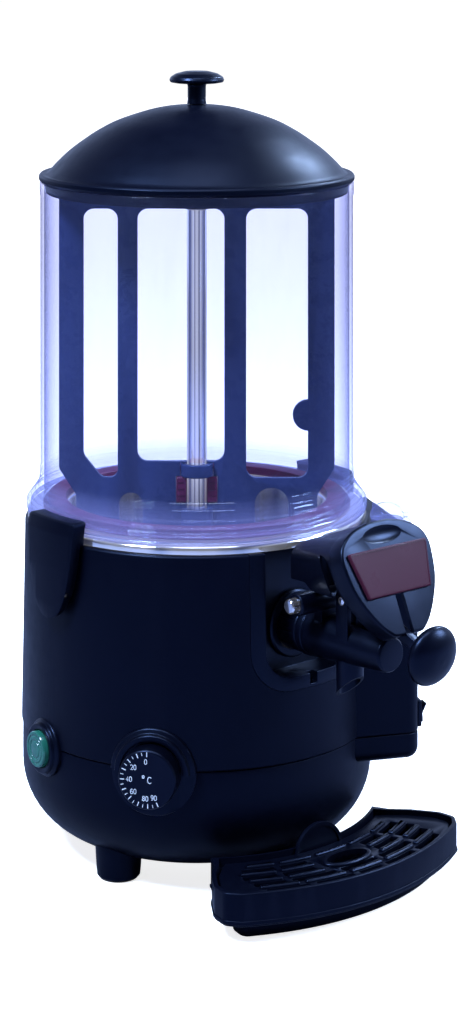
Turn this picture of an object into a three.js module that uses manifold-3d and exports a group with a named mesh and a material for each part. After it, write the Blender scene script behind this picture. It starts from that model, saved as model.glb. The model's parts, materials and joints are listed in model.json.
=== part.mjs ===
// Ten-litre heated dispenser for thick liquids: clear tank on a steel water-bath pan,
// motor-driven stirrer, plunger tap with a lever, thermostat dial, lit push button,
// crescent drip tray.
//
// Frame: millimetres, +Z up, origin on the tank axis at the underside of the base plate.
// The tap points along -Y (front). +X is on the right of someone facing the tap.
// "Forward" distances, written f, are measured from the axis towards the front.
import * as THREE from "three";
import { mergeVertices } from "three/addons/utils/BufferGeometryUtils.js";
import Module from "manifold-3d";

const wasm = await Module();
wasm.setup();

// ---------------------------------------------------------------- driving dimensions
const LARGE_FACETS = 32; // round the large turned parts
// casing
const SEAM_Z = 81; // joint line between the two casing mouldings
const LOWER_TOP_Z = SEAM_Z - 0.3;
const CASE_TOP_Z = 232.3;
const CASE_TOP_R = 130;
const CASE_SEAM_R = 132.6;
const WALL = 3.4;
const BOWL_R = 131.6;
const BOWL_FLAT_R = 79; // flat bottom of the bowl, inside its large corner
const BOWL_CORNER_Z = 52; // where the corner meets the straight side
const BASE_PLATE_R = 74;
const INNER_FLOOR_Z = 2.8; // the bracket and the terminal block stand here
// side box
const BOX_DIR = 65.6; // degrees from the front towards +X
const BOX_HALF = 90;
const BOX_END = 148;
const BOX_CORNER_R = 10;
const BOX_BOTTOM_Z = 61;
const BOX_TOP_Z = 228;
const FILLER_OUT = 129.5; // filler's place on the box, outwards
const FILLER_SIDE = 66; // and sideways, towards the front
// feet
const FOOT_COUNT = 5;
const FOOT_DROP = 13; // feet stand this far below the base plate
const FOOT_PITCH_R = 97;
const FOOT_TURN = 3.3; // degrees the ring of feet is turned from the tap
// water bath, pan, tank and lid
const SHEET = 1.2; // steel sheet thickness
const RING_R = 128; // rolled steel rim of the water bath
const RING_BOTTOM_Z = 232.6;
const RING_TOP_Z = 238.7;
const BATH_R = 104.6;
const BATH_FLOOR_Z = 138.8;
const PAN_R = 98.2;
const PAN_FLOOR_Z = 158.8;
const PAN_RIM_R = 124;
const PAN_STUB_IN_R = 12.9;
const TUBE_HOLE_R = 7.8;
const TANK_R = 118.7;
const TANK_IN_R = 115.7;
const TANK_TOP_Z = 484;
const FLANGE_R = 129;
const FLANGE_BOTTOM_Z = 239.3;
const LID_R = 119.8;
const LID_TOP_Z = 542;
const KNOB_TOP_Z = 567.5;
// stirrer and drive
const TUBE_R = 7.45;
const TUBE_IN_R = 5.5;
const SHAFT_R = 4;
const STIR_TURN = -39.5; // rest angle of the stirrer board about the axis, degrees
const STIR_THICK = 5;
const STIR_BORE_R = 8.1; // bore of the stirrer parts round the tube
const STIR_TOP_Z = 478;
const GEAR_CENTRES = 30;
// controls
const DIAL_DIR = 53; // degrees from the front towards -X
const DIAL_Z = 80;
const BUTTON_DIR = 96.5; // degrees from the front towards -X
const BUTTON_Z = 78;
const BUTTON_SLEEVE_R = 14.2;
const CORD_DIR = 180; // at the back
const CORD_Z = 58;
const ROCKER_X = -76.5; // along the box face, before it is turned into place
// latches
const LATCH_PIVOT_R = 137;
const LATCH_PIVOT_Z = 197;
// tap, its lever and cover
const TAP_Z = 173;
const PIVOT_F = 176;
const PIVOT_Z = 205;
const LOCK_F = 150; // cross sleeve of the lock pin
const LOCK_Z = 200;
const SPOUT_F = 170;
const LEVER_BORE_R = 3.2;
const COVER_LEAN = 24.2; // degrees the face leans back
const COVER_F = 233.1; // face line at height COVER_Z
const COVER_Z = 187;
const COVER_DEPTH = 14;
const COVER_WALL = 2.6;
// drip tray
const TRAY_TOP_Z = 22;
const TRAY_STEP_Z = -1;
const TRAY_BOTTOM_Z = -13;
const TRAY_FLOOR = 2.4;
const TRAY_FRONT_R = 205;
const TRAY_ARC_Y = 3.5; // the front arc is centred this far behind the axis
const TRAY_REAR_R = 135; // concave edge round the casing

// ---------------------------------------------------------------- materials
const black = { color: 0x14161f, roughness: 0.42, metalness: 0 };
const steel = { color: 0xc9ccd2, roughness: 0.2, metalness: 1 };
const clear = {
  color: 0xe4e6fa, roughness: 0.06, metalness: 0, transparent: true, opacity: 0.3,
};
const red = { color: 0x8a1438, roughness: 0.5, metalness: 0 };
const rubber = { color: 0x17181c, roughness: 0.8, metalness: 0 };
const zinc = { color: 0x9fa3a8, roughness: 0.45, metalness: 0.9 };
const bushLook = { color: 0xd8d4c4, roughness: 0.5, metalness: 0 };
const boardLook = { color: 0x20222c, roughness: 0.35, metalness: 0 };
const gearLook = { color: 0xe6e0cf, roughness: 0.55, metalness: 0 };
const gearCaseLook = { color: 0x8e9296, roughness: 0.5, metalness: 0.8 };
const thermostatLook = { color: 0xb9b4a6, roughness: 0.6, metalness: 0.2 };
const greenLook = { color: 0x1ea06e, roughness: 0.25, metalness: 0 };
const switchLook = { color: 0x23242a, roughness: 0.6, metalness: 0 };
const terminalLook = { color: 0xd9d9d2, roughness: 0.6, metalness: 0 };
const plungerLook = { color: 0xd9d7cf, roughness: 0.5, metalness: 0 };
const badgeLook = { color: 0x5f3c4b, roughness: 0.3, metalness: 0 };

// ---------------------------------------------------------------- solids
const rad = (degrees) => (degrees * Math.PI) / 180;
const group = new THREE.Group();

// closed three.js geometry -> Manifold solid facing outwards; a solid passes unchanged
function solid(body) {
  if (!(body instanceof THREE.BufferGeometry)) return body;
  const bare = body.clone();
  for (const key of Object.keys(bare.attributes)) {
    if (key !== "position") bare.deleteAttribute(key);
  }
  const merged = mergeVertices(bare, 1e-4);
  const position = merged.attributes.position;
  const index = merged.index.array;
  const vertex = (i) => new THREE.Vector3().fromBufferAttribute(position, i);
  const triangles = [];
  let volume = 0;
  for (let i = 0; i < index.length; i += 3) {
    const [first, second, third] = [index[i], index[i + 1], index[i + 2]];
    if (first === second || second === third || first === third) continue;
    triangles.push(first, second, third);
    volume += vertex(first).dot(vertex(second).cross(vertex(third)));
  }
  if (volume < 0) {
    for (let i = 0; i < triangles.length; i += 3) {
      [triangles[i], triangles[i + 1]] = [triangles[i + 1], triangles[i]];
    }
  }
  return new wasm.Manifold(
    new wasm.Mesh({
      numProp: 3,
      vertProperties: new Float32Array(position.array),
      triVerts: new Uint32Array(triangles),
    })
  );
}

function toGeometry(body) {
  const mesh = body.getMesh();
  const geometry = new THREE.BufferGeometry();
  const positions = new Float32Array(mesh.vertProperties);
  geometry.setAttribute("position", new THREE.BufferAttribute(positions, 3));
  geometry.setIndex(new THREE.BufferAttribute(new Uint32Array(mesh.triVerts), 1));
  geometry.computeVertexNormals();
  return geometry;
}

const join = (body, ...parts) => parts.reduce((sum, part) => sum.add(solid(part)), solid(body));
const cut = (body, ...tools) => tools.reduce((rest, t) => rest.subtract(solid(t)), solid(body));
const common = (body, other) => solid(body).intersect(solid(other));

function piece(name, body, look) {
  const mesh = new THREE.Mesh(toGeometry(solid(body)), new THREE.MeshStandardMaterial(look));
  mesh.name = name;
  group.add(mesh);
}

// ---------------------------------------------------------------- outlines
function rounded(x0, x1, y0, y1, radius, steps = 4) {
  const corners = [
    [x1 - radius, y1 - radius, 0],
    [x0 + radius, y1 - radius, 90],
    [x0 + radius, y0 + radius, 180],
    [x1 - radius, y0 + radius, 270],
  ];
  return corners.flatMap(([x, y, start]) =>
    Array.from({ length: steps + 1 }, (_, i) => {
      const angle = rad(start + (90 * i) / steps);
      return [x + radius * Math.cos(angle), y + radius * Math.sin(angle)];
    })
  );
}

// plan arc about [0, centreY]; angles in degrees from the front towards +X
const arc = (radius, from, to, steps, centreY = TRAY_ARC_Y) =>
  Array.from({ length: steps + 1 }, (_, i) => {
    const angle = rad(from + ((to - from) * i) / steps);
    return [radius * Math.sin(angle), centreY - radius * Math.cos(angle)];
  });

const flipped = (points) => points.map(([x, y]) => [-x, y]).reverse();
// whole outline from its +X half
const mirrored = (half) => [...half, ...flipped(half.filter(([x]) => x > 0))];
// rows are [x, y, shift of x, shift of y], the shifts per millimetre of inset
const insetOutline = (rows, inset) =>
  rows.map(([x, y, shiftX, shiftY]) => [x + inset * shiftX, y + inset * shiftY]);

// ---------------------------------------------------------------- basic bodies
// turned body about Z from [radius, height] points; closes on itself or on the axis
function turned(points, facets = LARGE_FACETS) {
  const profile = points.map(([radius, z]) => new THREE.Vector2(radius, z));
  if (points[0][0] > 0 || points[points.length - 1][0] > 0) profile.push(profile[0].clone());
  return new THREE.LatheGeometry(profile, facets).rotateX(Math.PI / 2);
}
const rodProfile = (radius, start, end) => [[0, start], [radius, start], [radius, end], [0, end]];
const ringProfile = (inner, outer, start, end) => [
  [inner, start], [outer, start], [outer, end], [inner, end],
];
const disc = (radius, z0, z1, facets = 16) => turned(rodProfile(radius, z0, z1), facets);
const ring = (inner, outer, z0, z1, facets = 16) =>
  turned(ringProfile(inner, outer, z0, z1), facets);

const box = (x0, x1, y0, y1, z0, z1) =>
  new THREE.BoxGeometry(x1 - x0, y1 - y0, z1 - z0).translate(
    (x0 + x1) / 2, (y0 + y1) / 2, (z0 + z1) / 2
  );
const frontBox = (x0, x1, f0, f1, z0, z1) => box(x0, x1, -f1, -f0, z0, z1);

function closedPath(Kind, points) {
  const path = new Kind(points.map(([x, y]) => new THREE.Vector2(x, y)));
  path.closePath();
  return path;
}
// plan outline raised along Z
function raised(points, z0, z1, holes = []) {
  const shape = closedPath(THREE.Shape, points);
  shape.holes = holes.map((hole) => closedPath(THREE.Path, hole));
  const geometry = new THREE.ExtrudeGeometry(shape, { depth: z1 - z0, bevelEnabled: false });
  return geometry.translate(0, 0, z0);
}
// [x, z] outline carried forward from f0 to f1
const faced = (points, f0, f1, holes) => raised(points, f0, f1, holes).rotateX(Math.PI / 2);
// [f, z] outline carried along X
const sideways = (points, x0, x1) =>
  raised(points, x0, x1).applyMatrix4(
    new THREE.Matrix4().set(0, 0, 1, 0, -1, 0, 0, 0, 0, 1, 0, 0, 0, 0, 0, 1)
  );
// turned body pointing forward at height z, from [radius, f] points
const forward = (points, z, facets = 16) =>
  turned(points, facets).rotateX(Math.PI / 2).translate(0, 0, z);
const forwardRod = (radius, f0, f1, z, facets) => forward(rodProfile(radius, f0, f1), z, facets);
// turned body along X at [f, z], from [radius, x] points
const across = (points, f, z, facets = 12) =>
  turned(points, facets).rotateY(Math.PI / 2).translate(0, -f, z);
const acrossRod = (radius, x0, x1, f, z, facets) =>
  across(rodProfile(radius, x0, x1), f, z, facets);

// turns a part built at the front towards -X
const swing = (geometry, degrees) => geometry.rotateZ(-rad(degrees));
const onBox = (geometry) => swing(geometry, -BOX_DIR);
const onDial = (geometry) => swing(geometry, DIAL_DIR);
const onButton = (geometry) => swing(geometry, BUTTON_DIR);
const onCord = (geometry) => swing(geometry, CORD_DIR);
// filler parts are built about Z, with z = 0 at the top of the side box
const onFiller = (geometry) => onBox(geometry.translate(-FILLER_SIDE, -FILLER_OUT, BOX_TOP_Z));

// ---------------------------------------------------------------- casing
// conical casing body, `grow` outside the real surface
function caseCone(grow, z0, z1) {
  const slope = (CASE_SEAM_R - CASE_TOP_R) / (CASE_TOP_Z - SEAM_Z);
  const radiusAt = (z) => CASE_TOP_R + (CASE_TOP_Z - z) * slope + grow;
  return turned([[0, z0], [radiusAt(z0), z0], [radiusAt(z1), z1], [0, z1]]);
}

function boxBody(inset, z0, z1) {
  const half = BOX_HALF - inset;
  const outline = rounded(-half, half, -20, BOX_END - inset, BOX_CORNER_R - inset, 5);
  return onBox(raised(outline.map(([x, out]) => [x, -out]), z0, z1));
}

// lower bowl: straight side, large elliptical corner, flat bottom
function bowl(grow, topZ = LOWER_TOP_Z, centreZ = -grow) {
  const steps = 5;
  const points = [[BOWL_R + grow, topZ], [BOWL_R + grow, BOWL_CORNER_Z]];
  for (let i = 1; i <= steps; i++) {
    const angle = rad((90 * i) / steps);
    points.push([
      BOWL_FLAT_R + (BOWL_R - BOWL_FLAT_R + grow) * Math.cos(angle),
      BOWL_CORNER_Z - (BOWL_CORNER_Z + grow) * Math.sin(angle),
    ]);
  }
  return turned([...points, [0, centreZ], [0, topZ]]);
}

// U outline of the front opening, running out above the casing
const frontU = (inset) => rounded(-50.5 + inset, 50.5 - inset, 132 + inset, 300, 30 - inset, 5);

// holes for the dial spindle and the push button, cut through the joint line
const controlHoles = () => [
  onDial(forwardRod(8, 100, 150, DIAL_Z)),
  onButton(forwardRod(14.6, 100, 150, BUTTON_Z)),
];

// rod on the latch pivot, along the tangent
const latchAxis = (radius, half, side) =>
  swing(acrossRod(radius, -half, half, LATCH_PIVOT_R, LATCH_PIVOT_Z, 16), side);

// [f, z]: front face drawn back below the pin, so that the latch clears it as it swings
const LATCH_LUG = [[129.5, 191], [138, 191], [139.5, 196.6], [139.5, 203], [129.5, 203]];

function upperCasing() {
  // pocket in the side box that leaves room for the right-hand latch
  const pocketHalf = 33;
  const pocketZ = 168;
  const pocket = (grow) =>
    box(90, 190, -pocketHalf - grow, pocketHalf + grow, pocketZ - grow, 300);
  const outside = join(
    caseCone(0, SEAM_Z, CASE_TOP_Z),
    cut(boxBody(0, SEAM_Z, BOX_TOP_Z), pocket(0))
  );
  const inside = turned([
    [0, SEAM_Z - 1], [CASE_SEAM_R - WALL, SEAM_Z - 1],
    [CASE_TOP_R - WALL, CASE_TOP_Z - WALL], [0, CASE_TOP_Z - WALL],
  ]);
  const shell = cut(
    outside,
    inside,
    disc(118, 200, 260, LARGE_FACETS),
    cut(boxBody(WALL, SEAM_Z - 1, BOX_TOP_Z - WALL), pocket(WALL)),
    faced(frontU(0), 90, 150),
    ...controlHoles()
  );
  const sides = [90, -90];
  return cut(
    join(shell, ...sides.map((side) => swing(sideways(LATCH_LUG, -8, 8), side))),
    ...sides.map((side) => latchAxis(1.8, 40, side)),
    onFiller(disc(9.6, -28, 12))
  );
}
piece("upper_casing", upperCasing(), black);

function lowerCasing() {
  return cut(
    join(bowl(0), boxBody(0, BOX_BOTTOM_Z, LOWER_TOP_Z)),
    bowl(-WALL, LOWER_TOP_Z + 1, WALL + 1.6),
    boxBody(WALL, BOX_BOTTOM_Z + WALL, SEAM_Z + 2),
    disc(BASE_PLATE_R + 0.3, -1, INNER_FLOOR_Z, LARGE_FACETS), // recess for the base plate
    disc(66, -1, 12, LARGE_FACETS),
    ...controlHoles(),
    onCord(forwardRod(7.4, 100, 150, CORD_Z))
  );
}
piece("lower_casing", lowerCasing(), black);

// two straight slots behind the axis
const basePlateSlots = [40, 52].map((y) => raised(rounded(-30, 30, y, y + 6, 3, 3), -1, 4));
const basePlateBlank = disc(BASE_PLATE_R, 0, 2.5, LARGE_FACETS);
piece("base_plate", cut(basePlateBlank, ...basePlateSlots), zinc);

// five feet, each cut to fit up against the bowl
const FOOT_PROFILE = [
  [0, -FOOT_DROP], [14.4, -FOOT_DROP], [15.7, -FOOT_DROP + 1.4], [17.4, 14], [17.8, 34], [0, 34],
];
for (let i = 0; i < FOOT_COUNT; i++) {
  const foot = turned(FOOT_PROFILE, 16).translate(0, -FOOT_PITCH_R, 0);
  swing(foot, (360 / FOOT_COUNT) * i + FOOT_TURN);
  piece("foot_" + (i + 1), cut(foot, bowl(0.3)), black);
}

// ---------------------------------------------------------------- water bath, pan, tank
function waterBath() {
  const lip = 1.3; // thickness of the rolled rim
  const body = turned([
    [0, BATH_FLOOR_Z], [BATH_R, BATH_FLOOR_Z], [BATH_R, RING_TOP_Z - lip],
    [RING_R - lip, RING_TOP_Z - lip], [RING_R - lip, RING_BOTTOM_Z], [RING_R, RING_BOTTOM_Z],
    [RING_R, RING_TOP_Z], [BATH_R - SHEET, RING_TOP_Z],
    [BATH_R - SHEET, BATH_FLOOR_Z + SHEET], [0, BATH_FLOOR_Z + SHEET],
  ]);
  return cut(body, disc(TUBE_HOLE_R, 130, 145), forwardRod(15, 80, 120, TAP_Z));
}
piece("water_bath", waterBath(), steel);

function productPan() {
  const rimZ = RING_TOP_Z + 0.3;
  const chamfer = 8; // between floor and side
  const innerFloor = [
    [PAN_R - SHEET, PAN_FLOOR_Z + chamfer + 0.4],
    [PAN_R - chamfer - 0.4, PAN_FLOOR_Z + SHEET],
    [0, PAN_FLOOR_Z + SHEET],
  ];
  const body = turned([
    [0, PAN_FLOOR_Z], [PAN_R - chamfer, PAN_FLOOR_Z], [PAN_R, PAN_FLOOR_Z + chamfer],
    [PAN_R, rimZ], [PAN_RIM_R, rimZ], [PAN_RIM_R, rimZ + SHEET], [PAN_R - SHEET, rimZ + SHEET],
    ...innerFloor,
  ]);
  const tapStub = forward(ringProfile(PAN_STUB_IN_R, 14.5, 90, 117.8), TAP_Z);
  return cut(
    join(body, tapStub),
    forwardRod(PAN_STUB_IN_R, 80, 120, TAP_Z),
    turned([[0, 250], [PAN_R - SHEET, 250], ...innerFloor]),
    disc(TUBE_HOLE_R, 130, 175)
  );
}
piece("product_pan", productPan(), steel);

const TANK_GASKET_PROFILE = [
  [99, 240.5], [PAN_RIM_R, 240.5], [PAN_RIM_R, 243.3], [113, 243.3], [113, 246.5], [99, 246.5],
];
piece("tank_gasket", turned(TANK_GASKET_PROFILE), red);

const TANK_PROFILE = [
  [TANK_IN_R, TANK_TOP_Z], [TANK_IN_R, 244], [125.8, 244], [125.8, FLANGE_BOTTOM_Z],
  [FLANGE_R, FLANGE_BOTTOM_Z], [FLANGE_R, 245.5], [126, 250], [121.6, 254.6], [119.4, 260],
  [119.4, 266], [TANK_R, 266.4], [TANK_R, 474.3], [119.2, 474.7], [119.2, TANK_TOP_Z],
];
piece("tank", turned(TANK_PROFILE), clear);

// ---------------------------------------------------------------- lid
const LID_PROFILE = [
  // outside, from the knob hole to the rim
  [3.4, LID_TOP_Z], [37, 537.6], [60, 530], [75, 522.4], [86.6, 514.8], [97, 507.2],
  [108, 496.4], [118.6, 495], [LID_R, 492], [LID_R, 488.2],
  // rim, inner skirt and underside
  [118, 484.3], [115, 484.3], [114.6, 476], [112.2, 476], [111.8, 488],
  [85, 512], [59, 526.8], [36.5, 534.6], [3.4, 539.2],
];
piece("lid", turned(LID_PROFILE), black);

const LID_KNOB_PROFILE = [
  [0, KNOB_TOP_Z], [9, 567], [16, 565], [20, 562.6], [20.9, 560.7], [20, 559], [17, 558.4],
  [7.2, 557.6], [6.95, 556], [6.95, 546], [10, 542.4], [3.1, 542.4], [3.1, 532], [0, 532],
];
piece("lid_knob", turned(LID_KNOB_PROFILE, 24), black);
piece("knob_nut", ring(3.8, 7, 534.4, 538.6, 6), zinc);

// ---------------------------------------------------------------- standpipe, shaft, stirrer
piece("centre_tube", ring(TUBE_IN_R, TUBE_R, 136, 462.5), steel);
for (const [name, bottomZ] of [["bush_top", 450], ["bush_bottom", 138]]) {
  const gap = 0.12;
  piece(name, ring(SHAFT_R + gap, TUBE_IN_R - gap, bottomZ, bottomZ + 12), bushLook);
}
piece("drive_shaft", disc(SHAFT_R, 96, 484), steel);

// stirrer parts are built in the XZ plane and then turned to the rest angle
const atRest = (body) => toGeometry(body).rotateZ(rad(STIR_TURN));

// [x, z], +X half: narrower where it dips into the pan
const BOARD_HALF = [[92, 164], [92, 246], [104.6, 262], [104.6, 472], [98.6, STIR_TOP_Z]];
// [x0, x1, z0, z1, corner radius, corner steps]
const BOARD_WINDOWS = [
  [-86, -60, 266, 463, 8, 3],
  [-45, 21, 271, 463, 8, 3],
  [37.5, 84.5, 258.4, 463, 8, 3],
  [-59, -41, 182, 247.4, 8.9, 4],
  [44, 69.5, 182, 250.9, 12, 4],
];
// [x, z] half-round stop on the outer edge of the upper window nearest +X
const BOARD_STOP = [
  [84, 295], [78, 296.5], [74, 301], [73, 306], [74, 311], [78, 315.5], [84, 317],
  [90, 317], [90, 295],
];

// framed board with three upper and two lower windows, and hubs on the axis
function stirrerBoard() {
  const half = STIR_THICK / 2;
  const windows = BOARD_WINDOWS.map((row) => rounded(...row));
  const board = join(
    faced(mirrored(BOARD_HALF), -half, half, windows),
    faced(BOARD_STOP, -half, half),
    disc(12.6, 172, 236),
    disc(10, 463, STIR_TOP_Z)
  );
  return atRest(cut(
    board,
    disc(STIR_BORE_R, 160, 462.8),
    disc(SHAFT_R + 0.2, 460, 480),
    disc(12.9, 259.3, 270.2), // room for the clip
    box(-16, 16, -20, 20, 239.6, 260.2) // room for the wiper
  ));
}
piece("stirrer_board", stirrerBoard(), boardLook);
piece("stirrer_clip", ring(STIR_BORE_R, 12.5, 260, 269.8), black);

function stirrerWiper() {
  return atRest(cut(
    box(-15.5, 15.5, -4, 12, 240, 259.7),
    disc(STIR_BORE_R, 230, 265),
    box(-STIR_BORE_R, STIR_BORE_R, -10, 0, 230, 265)
  ));
}
piece("stirrer_wiper", stirrerWiper(), red);

const STIRRER_CAP_PROFILE = [
  [0, 489], [5, 488.4], [8.6, 485], [9, 478.4],
  [SHAFT_R + 0.2, 478.4], [SHAFT_R + 0.2, 484.3], [0, 484.3],
];
piece("stirrer_cap", turned(STIRRER_CAP_PROFILE, 16), black);

// ---------------------------------------------------------------- gear motor
// straight-flanked gear outline; widths are tooth thicknesses at the root and the tip
function gearOutline({ teeth, rootR, tipR, rootWidth, tipWidth, turn }) {
  const rootHalf = rootWidth / 2 / rootR;
  const tipHalf = tipWidth / 2 / tipR;
  const tooth = [[rootR, -rootHalf], [tipR, -tipHalf], [tipR, tipHalf], [rootR, rootHalf]];
  const points = [];
  for (let i = 0; i < teeth; i++) {
    const middle = (2 * Math.PI * i) / teeth + turn;
    for (const [radius, offset] of tooth) {
      points.push([radius * Math.cos(middle + offset), radius * Math.sin(middle + offset)]);
    }
  }
  return points;
}

function outputGear() {
  const outline = gearOutline({
    teeth: 36, rootR: 22.3, tipR: 25.1, rootWidth: 2.5, tipWidth: 0.8, turn: 0,
  });
  const hub = disc(8, 97, 108);
  return cut(join(raised(outline, 99, 105), hub), disc(SHAFT_R + 0.1, 90, 110));
}
piece("output_gear", outputGear(), gearLook);

function motorPinion() {
  const outline = gearOutline({
    teeth: 9, rootR: 4.3, tipR: 7.1, rootWidth: 2.3, tipWidth: 0.8, turn: Math.PI / 18,
  });
  const pinion = join(raised(outline, 98.5, 105.5), disc(1.9, 62, 106));
  return toGeometry(pinion).translate(0, GEAR_CENTRES, 0);
}
piece("motor_pinion", motorPinion(), steel);

// open-topped tray round both gears
function gearCase() {
  const wall = 2.5;
  const floorZ = 92;
  const outline = (inset, radius) =>
    rounded(-31 + inset, 31 - inset, -30 + inset, 46 - inset, radius, 4);
  return cut(
    raised(outline(0, 8), floorZ, 110),
    raised(outline(wall, 6), floorZ + wall, 112),
    disc(3.2, 80, 100).translate(0, GEAR_CENTRES, 0)
  );
}
piece("gear_case", gearCase(), gearCaseLook);

const MOTOR_CAN_PROFILE = [
  [0, 50], [20, 50], [22, 52], [22, 91.7], [2.4, 91.7], [2.4, 60], [0, 60],
];
piece("motor_can", turned(MOTOR_CAN_PROFILE, 16).translate(0, GEAR_CENTRES, 0), zinc);

function motorBracket() {
  const sheet = 2;
  const topZ = 112.3;
  const half = 52;
  const inner = half - sheet;
  const toe = 58; // outer edge of the bent-out feet
  const legs = [[-half, -inner], [inner, half]];
  const feet = [[-toe, -inner], [inner, toe]];
  const body = join(
    box(-half, half, -36, 50, topZ - sheet, topZ),
    ...legs.map(([x0, x1]) => box(x0, x1, -24, 24, INNER_FLOOR_Z, topZ)),
    ...feet.map(([x0, x1]) => box(x0, x1, -24, 24, INNER_FLOOR_Z, INNER_FLOOR_Z + sheet))
  );
  return cut(body, disc(9, 100, 120));
}
piece("motor_bracket", motorBracket(), zinc);

// ---------------------------------------------------------------- heating and electrics
function heatingRing() {
  const innerR = 55;
  const outerR = 75;
  const middleR = (innerR + outerR) / 2;
  const body = turned([
    [innerR, 130], [innerR + 3, 128], [outerR - 3, 128], [outerR, 130],
    [outerR, 138.4], [innerR, 138.4],
  ], 24);
  const terminals = [middleR, -middleR].map((x) => disc(3, 116, 130, 12).translate(x, 0, 0));
  return join(body, ...terminals);
}
piece("heating_ring", heatingRing(), steel);

const thermostatBlock = onDial(frontBox(-17, 17, 92, 122, DIAL_Z - 17, DIAL_Z + 17));
const thermostatHole = onDial(forwardRod(3.5, 110, 130, DIAL_Z));
piece("thermostat", cut(thermostatBlock, thermostatHole), thermostatLook);

// body just outside the casing, used to seat the bezels against it
const caseSkin = () => caseCone(0.35, 40, 120);

function dialBezel() {
  const profile = [[0, 118], [31, 118], [31, 134.5], [29.5, 137], [27, 138], [0, 138]];
  return cut(
    onDial(forward(profile, DIAL_Z, 24)),
    caseSkin(),
    onDial(forwardRod(22.6, 134.6, 150, DIAL_Z, 24)),
    onDial(forwardRod(4.4, 100, 150, DIAL_Z))
  );
}
piece("dial_bezel", dialBezel(), black);

const DIAL_KNOB_PROFILE = [
  [0, 113], [3.1, 113], [3.1, 134.9], [21, 134.9], [21, 149], [20.2, 150], [0, 150],
];
piece("dial_knob", onDial(forward(DIAL_KNOB_PROFILE, DIAL_Z, 24)), black);

function buttonBezel() {
  const profile = [
    [13.5, 110], [BUTTON_SLEEVE_R, 110], [BUTTON_SLEEVE_R, 124], [20.6, 124], [20.6, 135],
    [19, 137], [15, 137.4], [13.5, 136],
  ];
  const sleeveRoom = onButton(forwardRod(BUTTON_SLEEVE_R, 100, 150, BUTTON_Z, 20));
  return cut(onButton(forward(profile, BUTTON_Z, 20)), cut(caseSkin(), sleeveRoom));
}
piece("button_bezel", buttonBezel(), black);

const BUTTON_PROFILE = [[0, 118], [12.9, 118], [12.9, 139.6], [12, 140.6], [0, 140.6]];
piece("power_button", onButton(forward(BUTTON_PROFILE, BUTTON_Z, 20)), greenLook);

const switchBlock = frontBox(-13, 13, 92, 109.6, BUTTON_Z - 13, BUTTON_Z + 13);
piece("switch_block", onButton(switchBlock), switchLook);
piece("terminal_block", box(-20, 22, -50, -34, INNER_FLOOR_Z, 17), terminalLook);

const GLAND_PROFILE = [
  [0, 122], [7, 122], [7, 133.2], [11, 133.2], [11, 137], [8, 139], [8, 150], [0, 150],
];
const gland = onCord(forward(GLAND_PROFILE, CORD_Z));
piece("cord_gland", cut(gland, onCord(forwardRod(3.4, 110, 160, CORD_Z))), rubber);

// rocker switch on the flat outer face of the side box
const rockerBox = (half, f0, f1, z0, z1) =>
  onBox(frontBox(ROCKER_X - half, ROCKER_X + half, BOX_END + f0, BOX_END + f1, z0, z1));
const rockerFrame = rockerBox(6.2, 0.3, 3, 82.4, 102.4);
piece("rocker_frame", cut(rockerFrame, rockerBox(4.4, 1.2, 5, 84.2, 100.6)), black);

// [distance out from the box face, z]
const ROCKER_PROFILE = [
  [2.2, 90.6], [4, 85.2], [4.8, 85.6], [4.4, 92], [7.6, 98.6], [6.8, 99.8], [2.2, 94],
];
const rockerSide = ROCKER_PROFILE.map(([out, z]) => [BOX_END + out, z]);
piece("rocker", onBox(sideways(rockerSide, ROCKER_X - 4, ROCKER_X + 4)), black);

// ---------------------------------------------------------------- filler on the side box
const NECK_PROFILE = [
  [9.2, -28], [9.3, -6], [9.3, 0.3], [13.8, 0.3], [13.8, 2.4], [12.2, 3], [12.2, 7],
  [7.8, 7], [7.8, -28],
];
const neckParts = [
  turned(NECK_PROFILE, 16),
  box(-5, 5, -17.5, -12.5, 0.4, 2.2), // ear, flat part
  box(-5, 5, -17.5, -14.6, 0.4, 6.4), // ear, upright part
];
piece("filler_neck", join(...neckParts.map(onFiller)), clear);

const CAP_PROFILE = [
  [0, 7.4], [12.6, 7.4], [12.8, 9.4], [12, 12.4], [9, 16], [4.6, 18], [0, 18.6],
];
const capParts = [
  turned(CAP_PROFILE, 16),
  box(-1.3, 1.3, -12, 12, 8, 19.4), // rib across the top
  box(-4, 4, -17.8, -10, 7.4, 10.4), // tab above the neck's ear
];
piece("filler_cap", join(...capParts.map(onFiller)), clear);

// ---------------------------------------------------------------- side latches
// [x, z], +X half, before the latch is turned to its side
const LATCH_HALF = [
  [0, 177], [6, 178.6], [13, 184], [18, 193], [22.5, 207], [26, 226], [27.4, 243], [27, 249.5],
];
// outer skin, drawn in below the pivot so that the tip clears the casing as it swings out
const LATCH_OUTSIDE = [
  [0, 170], [139.6, 170], [140.4, 190], [141, 215], [140.4, 240], [138.6, 249.6], [0, 249.6],
];
// inner surface, hooked over the tank flange
const LATCH_INSIDE = [
  [0, 170], [139.2, 170], [133.4, 196], [133.1, 232.4], [130.2, 232.5], [130.2, 240],
  [129.6, 245.6], [127.4, 249.7], [0, 249.7],
];
function latch(side) {
  const body = cut(
    common(faced(mirrored(LATCH_HALF), 124.6, 150), turned(LATCH_OUTSIDE)),
    turned(LATCH_INSIDE),
    frontBox(-8.7, 8.7, 125, 139.9, 180, 205.5), // room for the casing lug
    latchAxis(1.9, 40, 0)
  );
  return swing(toGeometry(body), side);
}
for (const [name, side] of [["left", 90], ["right", -90]]) {
  piece("latch_" + name, latch(side), black);
  piece("latch_pin_" + name, latchAxis(1.6, 17.6, side), steel);
}

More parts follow.
